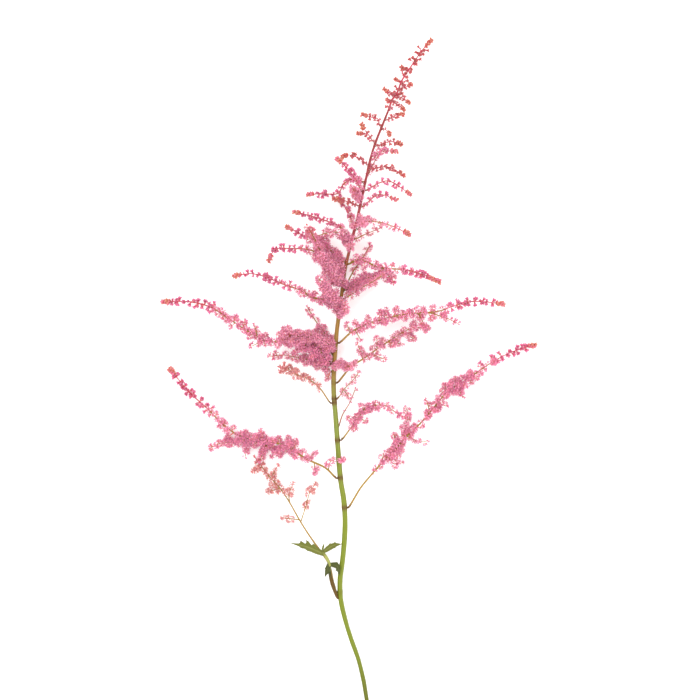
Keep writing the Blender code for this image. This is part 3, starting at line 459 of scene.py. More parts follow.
class Paint:
    """A procedural material, made node by node."""

    def __init__(self, name, sheen=0.0, coat=0.0, glow=0.0):
        self.material = bpy.data.materials.new(name)
        self.material.use_nodes = True
        tree = self.material.node_tree
        self.nodes, self.links = tree.nodes, tree.links
        self.inputs = self.nodes["Principled BSDF"].inputs
        for socket, value in (
            ("Sheen Weight", sheen), ("Coat Weight", coat), ("Specular IOR Level", GLOSS),
            ("Subsurface Weight", glow), ("Subsurface Radius", GLOW_REACH), ("Subsurface Scale", MM),
        ):
            self.inputs[socket].default_value = value

    def node(self, kind, settings, sockets, output=0):
        """Makes a node, its settings first and then its sockets, and gives one of its outputs."""
        made = self.nodes.new(kind)
        for name, value in settings.items():
            if name == "stops":
                self.set_stops(made.color_ramp, value)
            else:
                setattr(made, name, value)
        for name, value in sockets.items():
            self.feed(made.inputs[name], value)
        return Wire(self, made.outputs[output])

    def set_stops(self, ramp, stops):
        while len(ramp.elements) < len(stops):
            ramp.elements.new(0.5)
        for element, (position, tone) in zip(ramp.elements, stops):
            element.position = position
            element.color = (*tone, 1.0)

    def feed(self, socket, value):
        if isinstance(value, Wire):
            self.links.new(value.socket, socket)
        elif socket.type == "RGBA":
            socket.default_value = (*value, 1.0)
        else:
            socket.default_value = value

    def maths(self, operation, *values):
        return self.node("ShaderNodeMath", {"operation": operation}, dict(enumerate(values)))

    def mix(self, share, first, second):
        return self.node("ShaderNodeMix", {"data_type": "RGBA"}, {0: share, 6: first, 7: second}, 2)

    def ramp(self, value, stops):
        return self.node("ShaderNodeValToRGB", {"stops": stops}, {"Fac": value})

    def rise(self, value, low, high):
        """0 below low and 1 above high, with a smooth rise between them."""
        return self.node(
            "ShaderNodeMapRange", {"interpolation_type": "SMOOTHSTEP"},
            {"Value": value, "From Min": low, "From Max": high},
        )

    def fact(self, name):
        """A number that the mesh keeps for each point."""
        return self.node("ShaderNodeAttribute", {"attribute_name": name}, {}, "Fac")

    def noise(self, scale, detail=2.0):
        spot = self.node("ShaderNodeTexCoord", {}, {}, "Object")
        return self.node("ShaderNodeTexNoise", {}, {"Vector": spot, "Scale": scale, "Detail": detail})

    def bump(self, height, distance, strength):
        sockets = {"Height": height, "Distance": distance, "Strength": strength}
        self.feed(self.inputs["Normal"], self.node("ShaderNodeBump", {}, sockets))

    def finish(self, tone, roughness):
        self.feed(self.inputs["Base Color"], tone)
        self.feed(self.inputs["Roughness"], roughness)
        return self.material


def scaled(tone, share):
    return tuple(min(part * share, 1.0) for part in tone)


def paler(tone, share):
    return tuple(part + (1 - part) * share for part in tone)


def petal_paint(pink):
    """Petals deep at the base and pale at the rim, no two florets quite alike, and red on old florets. The
    deep feet are partly painted shade where the petals crowd.
    """
    tones = bpy.context.scene.astilbe_florets
    last = getattr(tones, pink)
    tone, foot, rim = last, tones.bud_red, tones.bud_tip
    if pink == "crimson":
        tone, foot, rim = tones.mauve, scaled(last, 0.6), scaled(last, 0.5)
    paint = Paint("petals " + pink, sheen=0.1, glow=0.35)
    along, tint, age = paint.fact("along"), paint.fact("tint"), paint.fact("age")
    # The darker petal feet are partly the petals' own deeper colour and partly painted shade where the petals
    # crowd together; the pale rims are the petals' lighter margins.
    pale = paint.ramp(along, (
        (0.0, scaled(tone, 0.42)), (0.3, scaled(tone, 0.74)), (0.7, tone), (1.0, paler(tone, 0.35)),
    ))
    deep = paint.ramp(along, (
        (0.0, scaled(tone, 0.32)), (0.5, scaled(tone, 0.62)), (1.0, scaled(tone, 0.92)),
    ))
    mottle = paint.noise(900.0)
    mixed = paint.mix(paint.rise(tint + mottle * 0.5, 0.55, 1.3), pale, deep)
    red = paint.ramp(along, ((0.0, foot), (0.25, foot), (0.6, last), (0.8, scaled(last, 0.85)), (1.0, rim)))
    aged = paint.mix(paint.rise(age + tint * 0.2, 0.38, 0.88), mixed, red)
    dulled = paint.mix(paint.rise(age, 0.3, 0.7) * 0.34, aged, scaled(rim, 0.8))
    paint.bump(paint.noise(2600.0), 0.00015, 0.5)
    return paint.finish(dulled, 0.52 + mottle * 0.2)


def bud_paint(pink):
    """Buds with a coral foot and a dark tip, redder towards the spray's tip; the last buds have a painted
    shade at their foot and a painted highlight near their tip.
    """
    tones = bpy.context.scene.astilbe_florets
    tone, coral = getattr(tones, pink), tones.coral
    paint = Paint("buds " + pink, sheen=0.1, glow=0.2)
    along, tint, age = paint.fact("along"), paint.fact("tint"), paint.fact("age")
    young = paint.ramp(along, (
        (0.0, coral), (0.3, tones.bud_red), (0.7, scaled(tone, 0.6)), (1.0, tones.bud_tip),
    ))
    # The last buds of a club: a dark foot as painted shade between the close-set buds, and a paler band near
    # the tip as painted highlight.
    last = paint.ramp(along, (
        (0.0, scaled(tones.bud_red, 0.5)), (0.45, coral), (0.8, paler(coral, 0.12)),
        (1.0, scaled(coral, 0.65)),
    ))
    pale = paint.mix(tint * 0.35, young, scaled(tone, 0.8))
    mixed = paint.mix(paint.rise(age, 0.9, 1.0), pale, last)
    paint.bump(paint.noise(2200.0), 0.0001, 0.4)
    return paint.finish(mixed, 0.42 + paint.noise(700.0) * 0.25)


def stalk_paint():
    """Side stalks, brown at the foot, then tan, then blushed, with pink calyces."""
    tones = bpy.context.scene.astilbe_florets
    tan, blush, red = tones.tan, tones.blush, tones.bud_red
    paint = Paint("side stalks")
    grain = paint.noise(500.0, 4.0)
    age = paint.fact("age")
    calyx = paint.mix(age, tones.salmon, red)
    stalk = paint.ramp(age + grain * 0.1 - 0.05, (
        (0.0, tan), (0.36, tan), (0.6, blush), (0.75, scaled(red, 0.75)), (1.0, blush),
    ))
    tone = paint.mix(paint.fact("stalk"), calyx, stalk)
    footed = paint.mix(paint.fact("foot"), tone, bpy.context.scene.astilbe_stem.bark)
    shaded = paint.mix(paint.rise(grain, 0.45, 0.75) * 0.25, footed, scaled(blush, 0.5))
    paint.bump(grain, 0.0002, 0.4)
    return paint.finish(shaded, 0.42 + grain * 0.25)


def anther_paint():
    tones = bpy.context.scene.astilbe_florets
    paint = Paint("stamens")
    pale = paler(tones.bright, 0.2)
    tone = paint.ramp(paint.fact("along"), ((0.0, pale), (0.7, pale), (0.82, tones.anther)))
    mottle = paint.noise(1500.0)
    return paint.finish(paint.mix(mottle * 0.5, tone, scaled(tones.anther, 0.6)), 0.5 + mottle * 0.2)


def stem_paint():
    """Olive, then yellow green, then ochre and rose up the plume, with brown knots, painted shade in the
    grooves between the ribs and fine flecks.
    """
    tones = bpy.context.scene.astilbe_stem
    olive, green, ochre, rose = tones.olive, tones.green, tones.ochre, tones.rose
    paint = Paint("stem skin", coat=0.04)
    grain = paint.noise(260.0, 5.0)
    fleck = paint.noise(1400.0, 3.0)
    way = paint.fact("along") + grain * 0.05 - 0.025
    tone = paint.ramp(way, (
        (0.0, olive), (0.1, scaled(green, 0.92)), (0.32, green), (0.5, paler(green, 0.03)), (0.57, ochre),
        (0.68, scaled(ochre, 1.1)), (0.78, scaled(rose, 1.1)), (1.0, rose),
    ))
    rib = paint.fact("rib")
    # Painted shade: darker olive along the grooves between the ribs, with fine random flecks.
    grooves_shaded_flecked = paint.mix(rib * 0.4 + paint.rise(fleck, 0.55, 0.8) * 0.2, tone, scaled(olive, 0.45))
    knotted = paint.mix(paint.fact("knot") * (0.7 + grain * 0.5), grooves_shaded_flecked, tones.bark)
    pith = paint.mix(paint.fact("cut"), knotted, paler(green, 0.55))
    paint.bump(fleck + rib * 0.5, 0.00012, 0.6)
    return paint.finish(pith, 0.36 + grain * 0.25)


def bark_paint():
    """Bracts, brown in the lower plume and rose in the upper."""
    tones = bpy.context.scene.astilbe_stem
    bark = tones.bark
    paint = Paint("bracts")
    grain = paint.noise(900.0, 4.0)
    tone = paint.ramp(paint.fact("along"), ((0.0, scaled(bark, 1.6)), (0.45, bark), (1.0, scaled(bark, 0.4))))
    browned = paint.mix(grain * 0.5, tone, scaled(tones.ochre, 0.7))
    blushed = paint.mix(paint.fact("high") * 0.85, browned, scaled(tones.rose, 0.6))
    paint.bump(grain, 0.0002, 0.7)
    return paint.finish(blushed, 0.5 + grain * 0.3)


def hair_paint():
    paint = Paint("down")
    pale = paler(bpy.context.scene.astilbe_stem.rose, 0.12)
    tone = paint.ramp(paint.fact("along"), ((0.0, pale), (1.0, scaled(pale, 0.7))))
    return paint.finish(tone, 0.4 + paint.noise(800.0) * 0.2)


def leaf_paint():
    """Olive blades, darker on the lower lobes, with sunken pale veins and browned teeth."""
    tones = bpy.context.scene.astilbe_leaf
    paint = Paint("leaf blade", coat=0.03)
    mottle, fine = paint.noise(240.0, 4.0), paint.noise(1800.0, 3.0)
    shade, vein, along = paint.fact("shade"), paint.fact("vein"), paint.fact("along")
    body = paint.mix(paint.rise(shade + mottle * 0.5 - 0.25, 0.2, 0.9), tones.blade, tones.dark)
    lit = paint.mix(mottle * 0.3, body, scaled(tones.blade, 1.4))
    veined = paint.mix(vein * (0.5 - shade * 0.45), lit, tones.vein)
    browned = paint.mix(paint.rise(along, 0.88, 1.02) * 0.8, veined, tones.sheath)
    paint.bump(fine - vein * 0.8, 0.00015, 0.7)
    return paint.finish(browned, 0.4 + mottle * 0.25)


def leaf_stalk_paint():
    """The leaf's stalk: a brown sheath at its foot and a pale rachis above."""
    tones = bpy.context.scene.astilbe_leaf
    sheath, vein = tones.sheath, tones.vein
    paint = Paint("leaf stalk")
    grain = paint.noise(700.0, 4.0)
    tone = paint.ramp(paint.fact("along") + grain * 0.1 - 0.05, (
        (0.0, sheath), (0.42, sheath), (0.56, tones.dark), (0.66, scaled(vein, 0.8)), (0.85, vein),
        (1.0, tones.blade),
    ))
    dark = paint.mix(paint.rise(grain, 0.5, 0.8) * 0.5, tone, scaled(sheath, 0.4))
    paint.bump(grain, 0.0002, 0.5)
    return paint.finish(dark, 0.45 + grain * 0.3)


def floor_paint():
    tone = bpy.context.scene.astilbe_stage.floor
    paint = Paint("floor paper")
    cloud = paint.noise(3.0)
    return paint.finish(paint.mix(cloud * 0.3, tone, scaled(tone, 0.985)), 0.85)


class Route:
    """A smooth curve through given places, in millimetres, read by the distance along it."""

    def __init__(self, places, step=1.0):
        ends = [places[0] * 2 - places[1], *places, places[-1] * 2 - places[-2]]
        points = []
        for a, b, c, d in zip(ends, ends[1:], ends[2:], ends[3:]):
            count = max(2, round((c - b).length / step))
            for i in range(count):
                t = i / count
                bend = (2 * a - 5 * b + 4 * c - d) * t**2 + (3 * b - a - 3 * c + d) * t**3
                points.append(0.5 * (2 * b + (c - a) * t + bend))
        self.points = np.array([*points, places[-1]])
        gaps = np.linalg.norm(np.diff(self.points, axis=0), axis=1)
        self.marks = np.concatenate(([0.0], np.cumsum(gaps)))
        self.total = float(self.marks[-1])

    def spot(self, distance):
        return np.array([np.interp(distance, self.marks, column) for column in self.points.T])

    def at(self, distance):
        """The place at a distance along the curve, and the direction there."""
        ahead, behind = min(distance + 0.5, self.total), max(distance - 0.5, 0.0)
        return Vector(self.spot(distance)), Vector(self.spot(ahead) - self.spot(behind)).normalized()

    def nearest(self, spot):
        """The distance along the curve of its point nearest to a place."""
        return float(self.marks[np.argmin(np.linalg.norm(self.points - np.array(spot), axis=1))])


STEM_LINE = Route([place(spot) for spot in STEM])


def square_to(heading, direction):
    """A direction brought square to a heading."""
    return (direction - heading * direction.dot(heading)).normalized()


def any_cross(heading):
    """Two directions square to a heading and to each other."""
    side = heading.orthogonal().normalized()
    return side, heading.cross(side)


def level_cross(heading):
    """Two directions square to a heading: a level one, and the most upright one."""
    level = heading.cross(UP).normalized()
    return level, level.cross(heading)


def around(side, over, turn):
    """The direction that lies a turn from one direction towards another."""
    return side * math.cos(turn) + over * math.sin(turn)


def loft(rings):
    """Points and triangles of a closed skin through rings of one point or of a common count."""
    faces = []
    start = 0
    for low, high in zip(rings, rings[1:]):
        above = start + len(low)
        count = max(len(low), len(high))
        for i in range(count):
            j = (i + 1) % count
            if len(low) > 1:
                faces.append((start + i, start + j, above + (j if len(high) > 1 else 0)))
            if len(high) > 1:
                faces.append((start + (i if len(low) > 1 else 0), above + j, above + i))
        start = above
    return np.concatenate([np.array(ring, float) for ring in rings]), np.array(faces)


def circle(radius, height, sides):
    steps = np.arange(sides) * FULL_TURN / sides
    return np.stack([np.cos(steps) * radius, np.sin(steps) * radius, np.full(sides, height)], axis=1)


def spindle(profile, sides, finish):
    """A turned shape from (height, radius) pairs, where a radius of 0 is a point, closed at both ends."""
    rings = [circle(r, z, sides) if r else [(0, 0, z)] for z, r in profile]
    if profile[0][1]:
        rings.insert(0, [(0, 0, profile[0][0] - 0.02)])
    points, faces = loft(rings)
    low, high = profile[0][0], profile[-1][0]
    return Shape(points, faces, (points[:, 2] - low) / (high - low), finish)


def petal_shape(first_lean, last_lean, width, turn):
    """A spoon-shaped petal of length 1 that leans out from the floret's axis, from its foot to its rim."""
    profile = ((0.0, 0.0), (0.34, 0.5), (0.74, 1.0), (1.0, 0.0))
    spot, at = Vector((0.14, 0, 0.4)), 0.0
    rings, along = [], []
    for share, spread in profile:
        lean = first_lean + (last_lean - first_lean) * share
        heading = Vector((math.sin(lean), 0, math.cos(lean)))
        spot = spot + heading * (share - at)
        at = share
        back = Vector((-heading.z, 0, heading.x))
        side = Vector((0, width / 2 * spread, 0))
        ring = [spot]
        if spread:
            ring = [spot + side + back * 0.08, spot - side + back * 0.08, spot - back * 0.07]
        rings.append(ring)
        along.extend([share] * len(ring))
    points, faces = loft(rings)
    return Shape(points @ spun(turn).T, faces, np.array(along), PETAL)


def spun(turn):
    """The matrix that turns points round the upright axis."""
    return np.array([[math.cos(turn), -math.sin(turn), 0], [math.sin(turn), math.cos(turn), 0], [0, 0, 1]])


def joined(shapes):
    """Several shapes as one, each keeping its own finish."""
    points, faces, along, finishes, start = [], [], [], [], 0
    for shape in shapes:
        points.append(shape.points)
        faces.append(shape.faces + start)
        along.append(shape.along)
        finishes.append(np.broadcast_to(shape.finish, len(shape.faces)))
        start += len(shape.points)
    return Shape(*(np.concatenate(part) for part in (points, faces, along, finishes)))


def stamen_shape(lean, turn, reach):
    shape = spindle(((0.0, 0.035), (reach - 0.16, 0.03), (reach - 0.06, 0.09), (reach, 0.0)), 3, ANTHER)
    tilt = np.array([[math.cos(lean), 0, math.sin(lean)], [0, 1, 0], [-math.sin(lean), 0, math.cos(lean)]])
    points = (shape.points @ tilt.T + np.array([0.06, 0, 0.3])) @ spun(turn).T
    return shape._replace(points=points)


def floret_shape(first_lean, last_lean, width, stamens):
    """A calyx, five petals and a few stamens round the axis, with petals of length 1."""
    calyx = spindle(((0.0, 0.0), (0.12, 0.2), (0.48, 0.28), (0.54, 0.0)), 4, STALK)
    first, last = math.radians(first_lean), math.radians(last_lean)
    petals = [petal_shape(first, last, width, FULL_TURN / 5 * i) for i in range(5)]
    inner = [stamen_shape(0.3, FULL_TURN * (i + 0.5) / stamens, 0.95) for i in range(stamens)]
    if stamens:
        inner.append(spindle(((0.4, 0.0), (0.62, 0.17), (0.84, 0.1), (1.0, 0.0)), 4, BUDDED))
    return joined([calyx, *petals, *inner])


OPEN_FLORET = floret_shape(42, 96, 0.5, 3)
HALF_FLORET = floret_shape(16, 46, 0.46, 0)
TOOTH = floret_shape(20, 34, 0.62, 0)
BUD = spindle(((0.0, 0.0), (0.14, 0.2), (0.45, 0.31), (0.78, 0.24), (1.0, 0.0)), 6, BUDDED)
PEDICEL = spindle(((0.0, 0.11), (0.5, 0.07), (1.0, 0.0)), 3, STALK)
HAIR = spindle(((0.0, 0.05), (1.0, 0.0)), 3, DOWN)


class Pile:
    """The triangles of one piece, in millimetres, with a finish for each and a few numbers for each point."""

    def __init__(self, rng=None):
        self.rng = rng
        self.points, self.faces, self.finishes = [], [], []
        self.facts, self.heads = {}, {}
        self.count = 0

    def add(self, points, faces, finish, **facts):
        self.points.append(points)
        self.faces.append(faces + self.count)
        self.finishes.append(np.broadcast_to(finish, len(faces)))
        for name, values in facts.items():
            self.facts.setdefault(name, []).append((self.count, np.broadcast_to(values, len(points))))
        self.count += len(points)

    def tube(self, route, radii, sides, finish, step, **facts):
        """A round bar along a route, its radius read from a list at even shares of its length.

        A fact may be a function of the shares of the way.
        """
        side = route.at(0)[1].orthogonal().normalized()
        rings, along = [], [0.0]
        for mark in np.linspace(0, route.total, max(3, round(route.total / step) + 1)):
            share = mark / route.total
            spot, heading = route.at(mark)
            side = square_to(heading, side)
            over = heading.cross(side)
            radius = float(np.interp(share, np.linspace(0, 1, len(radii)), radii))
            rings.append([spot + around(side, over, FULL_TURN * i / sides) * radius for i in range(sides)])
            along.extend([share] * sides)
        points, faces = loft([[route.at(0)[0]], *rings, [route.at(route.total)[0]]])
        along = np.array([*along, 1.0])
        facts = {name: fact(along) if callable(fact) else fact for name, fact in facts.items()}
        self.add(points, faces, finish, along=along, **facts)

    def put(self, shape, spot, axis, spin, size, age):
        """Keeps a copy of a shape for later: where, facing where, how large and how old, in its own tint."""
        row = (*spot, *axis, spin, size, age, self.rng.random())
        self.heads.setdefault(id(shape), (shape, []))[1].append(row)

    def scatter(self):
        """Makes all the copies that were put."""
        for shape, rows in self.heads.values():
            spots, axes, spins, sizes, ages, tints = np.split(np.array(rows), (3, 6, 7, 8, 9), axis=1)
            axes /= np.linalg.norm(axes, axis=1, keepdims=True)
            level = np.where(np.abs(axes[:, 2:]) < 0.9, [[0.0, 0.0, 1.0]], [[1.0, 0.0, 0.0]])
            side = np.cross(level, axes)
            side /= np.linalg.norm(side, axis=1, keepdims=True)
            over = np.cross(axes, side)
            turned = side * np.cos(spins) + over * np.sin(spins)
            frames = np.stack([turned, np.cross(axes, turned), axes], axis=2) * sizes[:, :, None]
            points = np.einsum("nij,pj->npi", frames, shape.points) + spots[:, None, :]
            count, size = len(rows), len(shape.points)
            faces = shape.faces[None] + (np.arange(count) * size)[:, None, None]
            finishes = np.tile(np.broadcast_to(shape.finish, len(shape.faces)), count)
            self.add(
                points.reshape(-1, 3), faces.reshape(-1, 3), finishes, along=np.tile(shape.along, count),
                age=np.repeat(ages, size), tint=np.repeat(tints, size),
            )

    def piece(self, name, paints):
        """Turns the pile into an object, with nothing under the floor."""
        self.scatter()
        points = np.concatenate(self.points)
        points[:, 2] = np.maximum(points[:, 2], LOWEST)
        faces = np.concatenate(self.faces)
        mesh = bpy.data.meshes.new(name)
        mesh.vertices.add(len(points))
        mesh.vertices.foreach_set("co", (points * MM).ravel())
        mesh.loops.add(faces.size)
        mesh.loops.foreach_set("vertex_index", faces.ravel())
        mesh.polygons.add(len(faces))
        mesh.polygons.foreach_set("loop_start", np.arange(0, faces.size, 3))
        mesh.polygons.foreach_set("material_index", np.concatenate(self.finishes))
        for fact, rows in self.facts.items():
            values = np.zeros(len(points), np.float32)
            for start, part in rows:
                values[start:start + len(part)] = part
            mesh.attributes.new(fact, "FLOAT", "POINT").data.foreach_set("value", values)
        mesh.update(calc_edges=True)
        mesh.shade_smooth()
        for paint in paints:
            mesh.materials.append(paint)
        made = bpy.data.objects.new(name, mesh)
        bpy.context.scene.collection.objects.link(made)
        return made


def stem_radius(y):
    return float(np.interp(y, STEM_AT, STEM_RADII))


def knot_at(at):
    """The stem's place and direction at a row of the lists, and the distance along the stem."""
    distance = float(np.interp(at - MIDDLE_Y, STEM_LINE.points[:, 1], STEM_LINE.marks))
    return (*STEM_LINE.at(distance), distance)


def rooted(places, at, rise):
    """A stalk's places with two more at its foot: one inside the stem, and one that far out from it."""
    knot, heading, _ = knot_at(at)
    out = square_to(heading, places[0] - knot)
    start = knot + out * stem_radius(at) * 0.5
    return [start, start + out * rise, *places]


def spray_routes(spray):
    """The stalk's route from inside the stem, and its twigs' routes from the middle of the stalk."""
    places = [place(spot) for spot in spray.route]
    if spray is TOP_SPRAY:
        places = [STEM_LINE.at(STEM_LINE.total - 1.0)[0], *places]
    else:
        places = rooted(places, spray.at, stem_radius(spray.at) * 0.5 + 1.5)
    stalk = Route(places)
    twigs = []
    for first, *others in spray.twigs:
        start = stalk.at(stalk.nearest(place(first)))[0]
        twigs.append(Route([start, *(place(spot) for spot in others)]))
    return stalk, twigs


def floret_length(part, size):
    """The length of a petal or bud, in millimetres, on a spray of a given size."""
    return getattr(bpy.context.scene.astilbe_florets, part) / MM * size


def read_form(form, share):
    """The reach, crowd and age that a form gives at a share of the way."""
    shares, *columns = zip(*form)
    return (float(np.interp(share, shares, column)) for column in columns)


def grow_clump(pile, root, out, reach, age, size):
    """A short branchlet with a clump of open or half-open florets round its end."""
    rng, petal = pile.rng, floret_length("petal", size)
    stalk = max(reach - petal * 0.9, 0.4)
    turn = rng.uniform(0, FULL_TURN)
    side, over = any_cross(out)
    pile.put(PEDICEL, root, out, turn, stalk + 0.4, age)
    count = max(2, round(reach * CLUMP_CROWD + rng.uniform(-0.6, 0.6)))
    for i in range(count):
        share = 1.0 - 0.62 * i / count
        turn += GOLDEN_ANGLE
        lean = rng.uniform(*(SIDE_LEAN if i else FIRST_LEAN))
        axis = out * math.cos(lean) + around(side, over, turn) * math.sin(lean)
        head = root + out * stalk * share + axis * size * rng.uniform(0.5, 1.0)
        openness = 1.0 - 1.3 * age + rng.uniform(-0.25, 0.25)
        scale = petal * rng.uniform(0.85, 1.12)
        if openness > OPEN:
            pile.put(OPEN_FLORET, head, axis, turn, scale, age)
        elif openness > HALF_OPEN:
            pile.put(HALF_FLORET, head, axis, turn, scale * 0.85, age)
        else:
            pile.put(BUD, head, axis, turn, floret_length("bud", size), age)


def grow_teeth(pile, root, heading, reach, age, size):
    """Slender florets across the stalk, as the outer parts of a spray show, with buds at their feet."""
    rng = pile.rng
    level, rise = level_cross(heading)
    roll = rng.uniform(-0.5, 0.5)
    for i in range(4):
        turn = roll + math.pi * 0.5 * i + rng.uniform(-0.5, 0.5)
        out = (around(level, rise, turn) + heading * rng.uniform(-0.3, 0.8)).normalized()
        foot = root + heading * rng.uniform(-0.9, 0.9)
        spin = rng.uniform(0, FULL_TURN)
        bud = floret_length("bud", size) * rng.uniform(0.85, 1.15)
        far = reach * rng.uniform(0.65, 1.35) * (0.8 if i % 2 else 1.0)
        scale = min(far / 1.05, TOOTH_LENGTH * size)
        if rng.random() < LONE_BUD:
            pile.put(BUD, foot, out, spin, bud * 0.8, age)
            continue
        pile.put(PEDICEL, foot, out, spin, far * 0.7, age)
        shape = TOOTH if age > ALL_TEETH or rng.random() < 0.5 else HALF_FLORET
        pile.put(shape, foot + out * max(far - scale * 1.25, 0.0), out, spin, scale, age)
        if far > TOOTH_ROOM and i % 2 == 0:
            near = (out + heading * rng.choice((-0.9, 0.9))).normalized()
            pile.put(BUD, foot + out * far * rng.uniform(0.2, 0.6), near, spin, bud, age)


def grow_club(pile, route, start, size):
    """The close-set last buds at a stalk's tip, in little knots."""
    rng, bud = pile.rng, floret_length("bud", size)
    turn = rng.uniform(0, FULL_TURN)
    distance = start
    while distance < route.total:
        root, heading = route.at(distance)
        side, over = any_cross(heading)
        left = (route.total - distance) / max(route.total - start, 1.0)
        for _ in range(CLUB_KNOT):
            turn += GOLDEN_ANGLE
            out = around(side, over, turn) + heading * rng.uniform(0.3, 0.9)
            scale = bud * (1.28 + 0.12 * left) * rng.uniform(0.8, 1.25)
            pile.put(BUD, root, out.normalized(), turn, scale, 1.0 - 0.08 * rng.random())
        distance += rng.uniform(0.9, 1.5)
    tip, heading = route.at(route.total)
    pile.put(BUD, tip - heading * 0.6, heading, turn, bud, 1.0)


def grow_raceme(pile, route, size, form):
    """Branchlets along a stalk as the form says: clumps of open florets, then teeth, then a club of buds."""
    rng = pile.rng
    shares, reaches, _, ages = zip(*form)
    club = route.total
    if ages[-1] > CLUB_AGE:
        club -= CLUB_LENGTH * size
        if len(form) > 3:
            club = min(club, shares[-1] * route.total)
    distance = max(shares[0] * route.total, 2.0)
    turn, wave = rng.uniform(0, FULL_TURN), rng.uniform(0, FULL_TURN)
    while distance < club - 0.6:
        reach, crowd, age = read_form(form, distance / route.total)
        root, heading = route.at(distance)
        if age >= YOUNG:
            grow_teeth(pile, root, heading, reach * size ** 0.3, age, size ** 0.4)
            distance += TEETH_GAP / crowd * rng.uniform(0.6, 1.35)
            continue
        level, rise = level_cross(heading)
        turn += GOLDEN_ANGLE + rng.uniform(-0.3, 0.3)
        out = (around(level, rise, turn) + heading * rng.uniform(0.2, 0.6)).normalized()
        swell = 1.0 + (LOOSE_WAVE if crowd < DENSE else DENSE_WAVE) * math.sin(distance * WAVE + wave)
        far = reach * swell * size ** 0.5 * (0.42 + 0.8 * rng.random() ** 1.4)
        if root.z + out.z * far < FLOOR_MARGIN:
            out.z = abs(out.z) * 0.4
            out.normalize()
        grow_clump(pile, root, out, far, age, size ** 0.5)
        distance += CLUMP_GAP / crowd * rng.uniform(0.5, 1.5)
        if crowd < SPARSE and rng.random() < BARE_CHANCE:
            distance += rng.uniform(*BARE_GAP)
    if club < route.total:
        grow_club(pile, route, club, size ** 0.4)
    else:
        tip, heading = route.at(route.total)
        grow_clump(pile, tip - heading * 0.8, heading, max(reaches[-1] * 0.8, 1.8), ages[-1], size ** 0.5)


def twig_form(form, start):
    """How a twig fills out that leaves its spray at a share of the way."""
    shares, _, _, ages = zip(*form)
    if start < shares[0] or ages[-1] < 0.65:
        return TUFT
    reach, crowd, age = read_form(form, start)
    if age > 0.35:
        return SMALL if ages[0] > 0.55 else THIN
    reach, crowd = min(reach, 4.5), max(crowd, 4.5)
    return (
        (0.15, reach, crowd, age), (0.55, reach * 0.9, crowd * 0.9, age + 0.1),
        (0.8, reach * 0.7, 5.5, age + 0.2), (1.0, 2.6, 5, age + 0.35),
    )


def grow_spray(spray, paints):
    """One spray as a piece that stands for its node."""
    pile = Pile(random.Random(spray.name))
    stalk, twigs = spray_routes(spray)
    shares, _, _, ages = zip(*spray.form)
    first_age = float(np.interp(spray.at, (300, 400), (0.0, 0.45)))
    brown = float(np.interp(spray.at, (300, 370), (1.0, 0.15)))
    thick = 0.85 * min(1.0, (stalk.total / 110) ** 0.45 + 0.05)
    if spray is TOP_SPRAY:
        brown, thick = 0.0, stem_radius(spray.at)
    pile.tube(
        stalk, (thick, thick * 0.85, thick * 0.65, 0.36), 8, STALK, STALK_STEP, stalk=1.0,
        age=lambda way: np.maximum(first_age, np.interp(way, shares, ages)),
        foot=lambda way: brown * np.clip(1.6 - way * stalk.total / FOOT_LENGTH, 0, 1),
    )
    grow_raceme(pile, stalk, spray.size, spray.form)
    for twig in twigs:
        start = stalk.nearest(twig.at(0)[0]) / stalk.total
        age = max(first_age, float(np.interp(start, shares, ages)))
        pile.tube(
            twig, (min(thick * 0.6, 0.5), 0.4, 0.3), 6, STALK, STALK_STEP, stalk=1.0,
            age=lambda way: np.minimum(age + 0.2 * way, 1.0),
        )
        grow_raceme(pile, twig, spray.size * 0.9, twig_form(spray.form, start))
    piece = pile.piece("bloom_" + spray.name, paints)
    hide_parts(spray.name)
    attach(piece, BODY)
    "petals_" + spray.pink


def grow_sprays(sprays):
    stalks, anthers = stalk_paint(), anther_paint()
    paints = {}
    for spray in sprays:
        if spray.pink not in paints:
            paints[spray.pink] = (petal_paint(spray.pink), bud_paint(spray.pink), stalks, anthers)
        grow_spray(spray, paints[spray.pink])


def grow_bract(pile, spray):
    """A pointed brown scale at the foot of a spray."""
    knot, heading, _ = knot_at(spray.at)
    out = square_to(heading, place(spray.route[0]) - knot)
    across = heading.cross(out).normalized()
    size = 1.3 if spray.at < LOW_BRACTS else 0.8
    foot = knot - heading * 1.5 + out * stem_radius(spray.at) * 0.75
    tip = foot + (out * 2.0 + heading * 2.8) * size + Vector([pile.rng.uniform(-0.3, 0.3) for _ in range(3)])
    rings, along = [[foot - heading * 0.8]], [0.0]
    for share, width, shade in BRACT:
        spot = foot.lerp(tip, share) + out * 0.5 * math.sin(share * math.pi)
        half = width * size
        rings.append([spot + across * half, spot + out * 0.35, spot - across * half, spot - out * 0.25])
        along.extend([shade] * 4)
    points, faces = loft([*rings, [tip]])
    high = float(np.interp(spray.at, (290, 380), (0.0, 1.0)))
    pile.add(points, faces, BARK, along=np.array([*along, 1.0]), high=high)


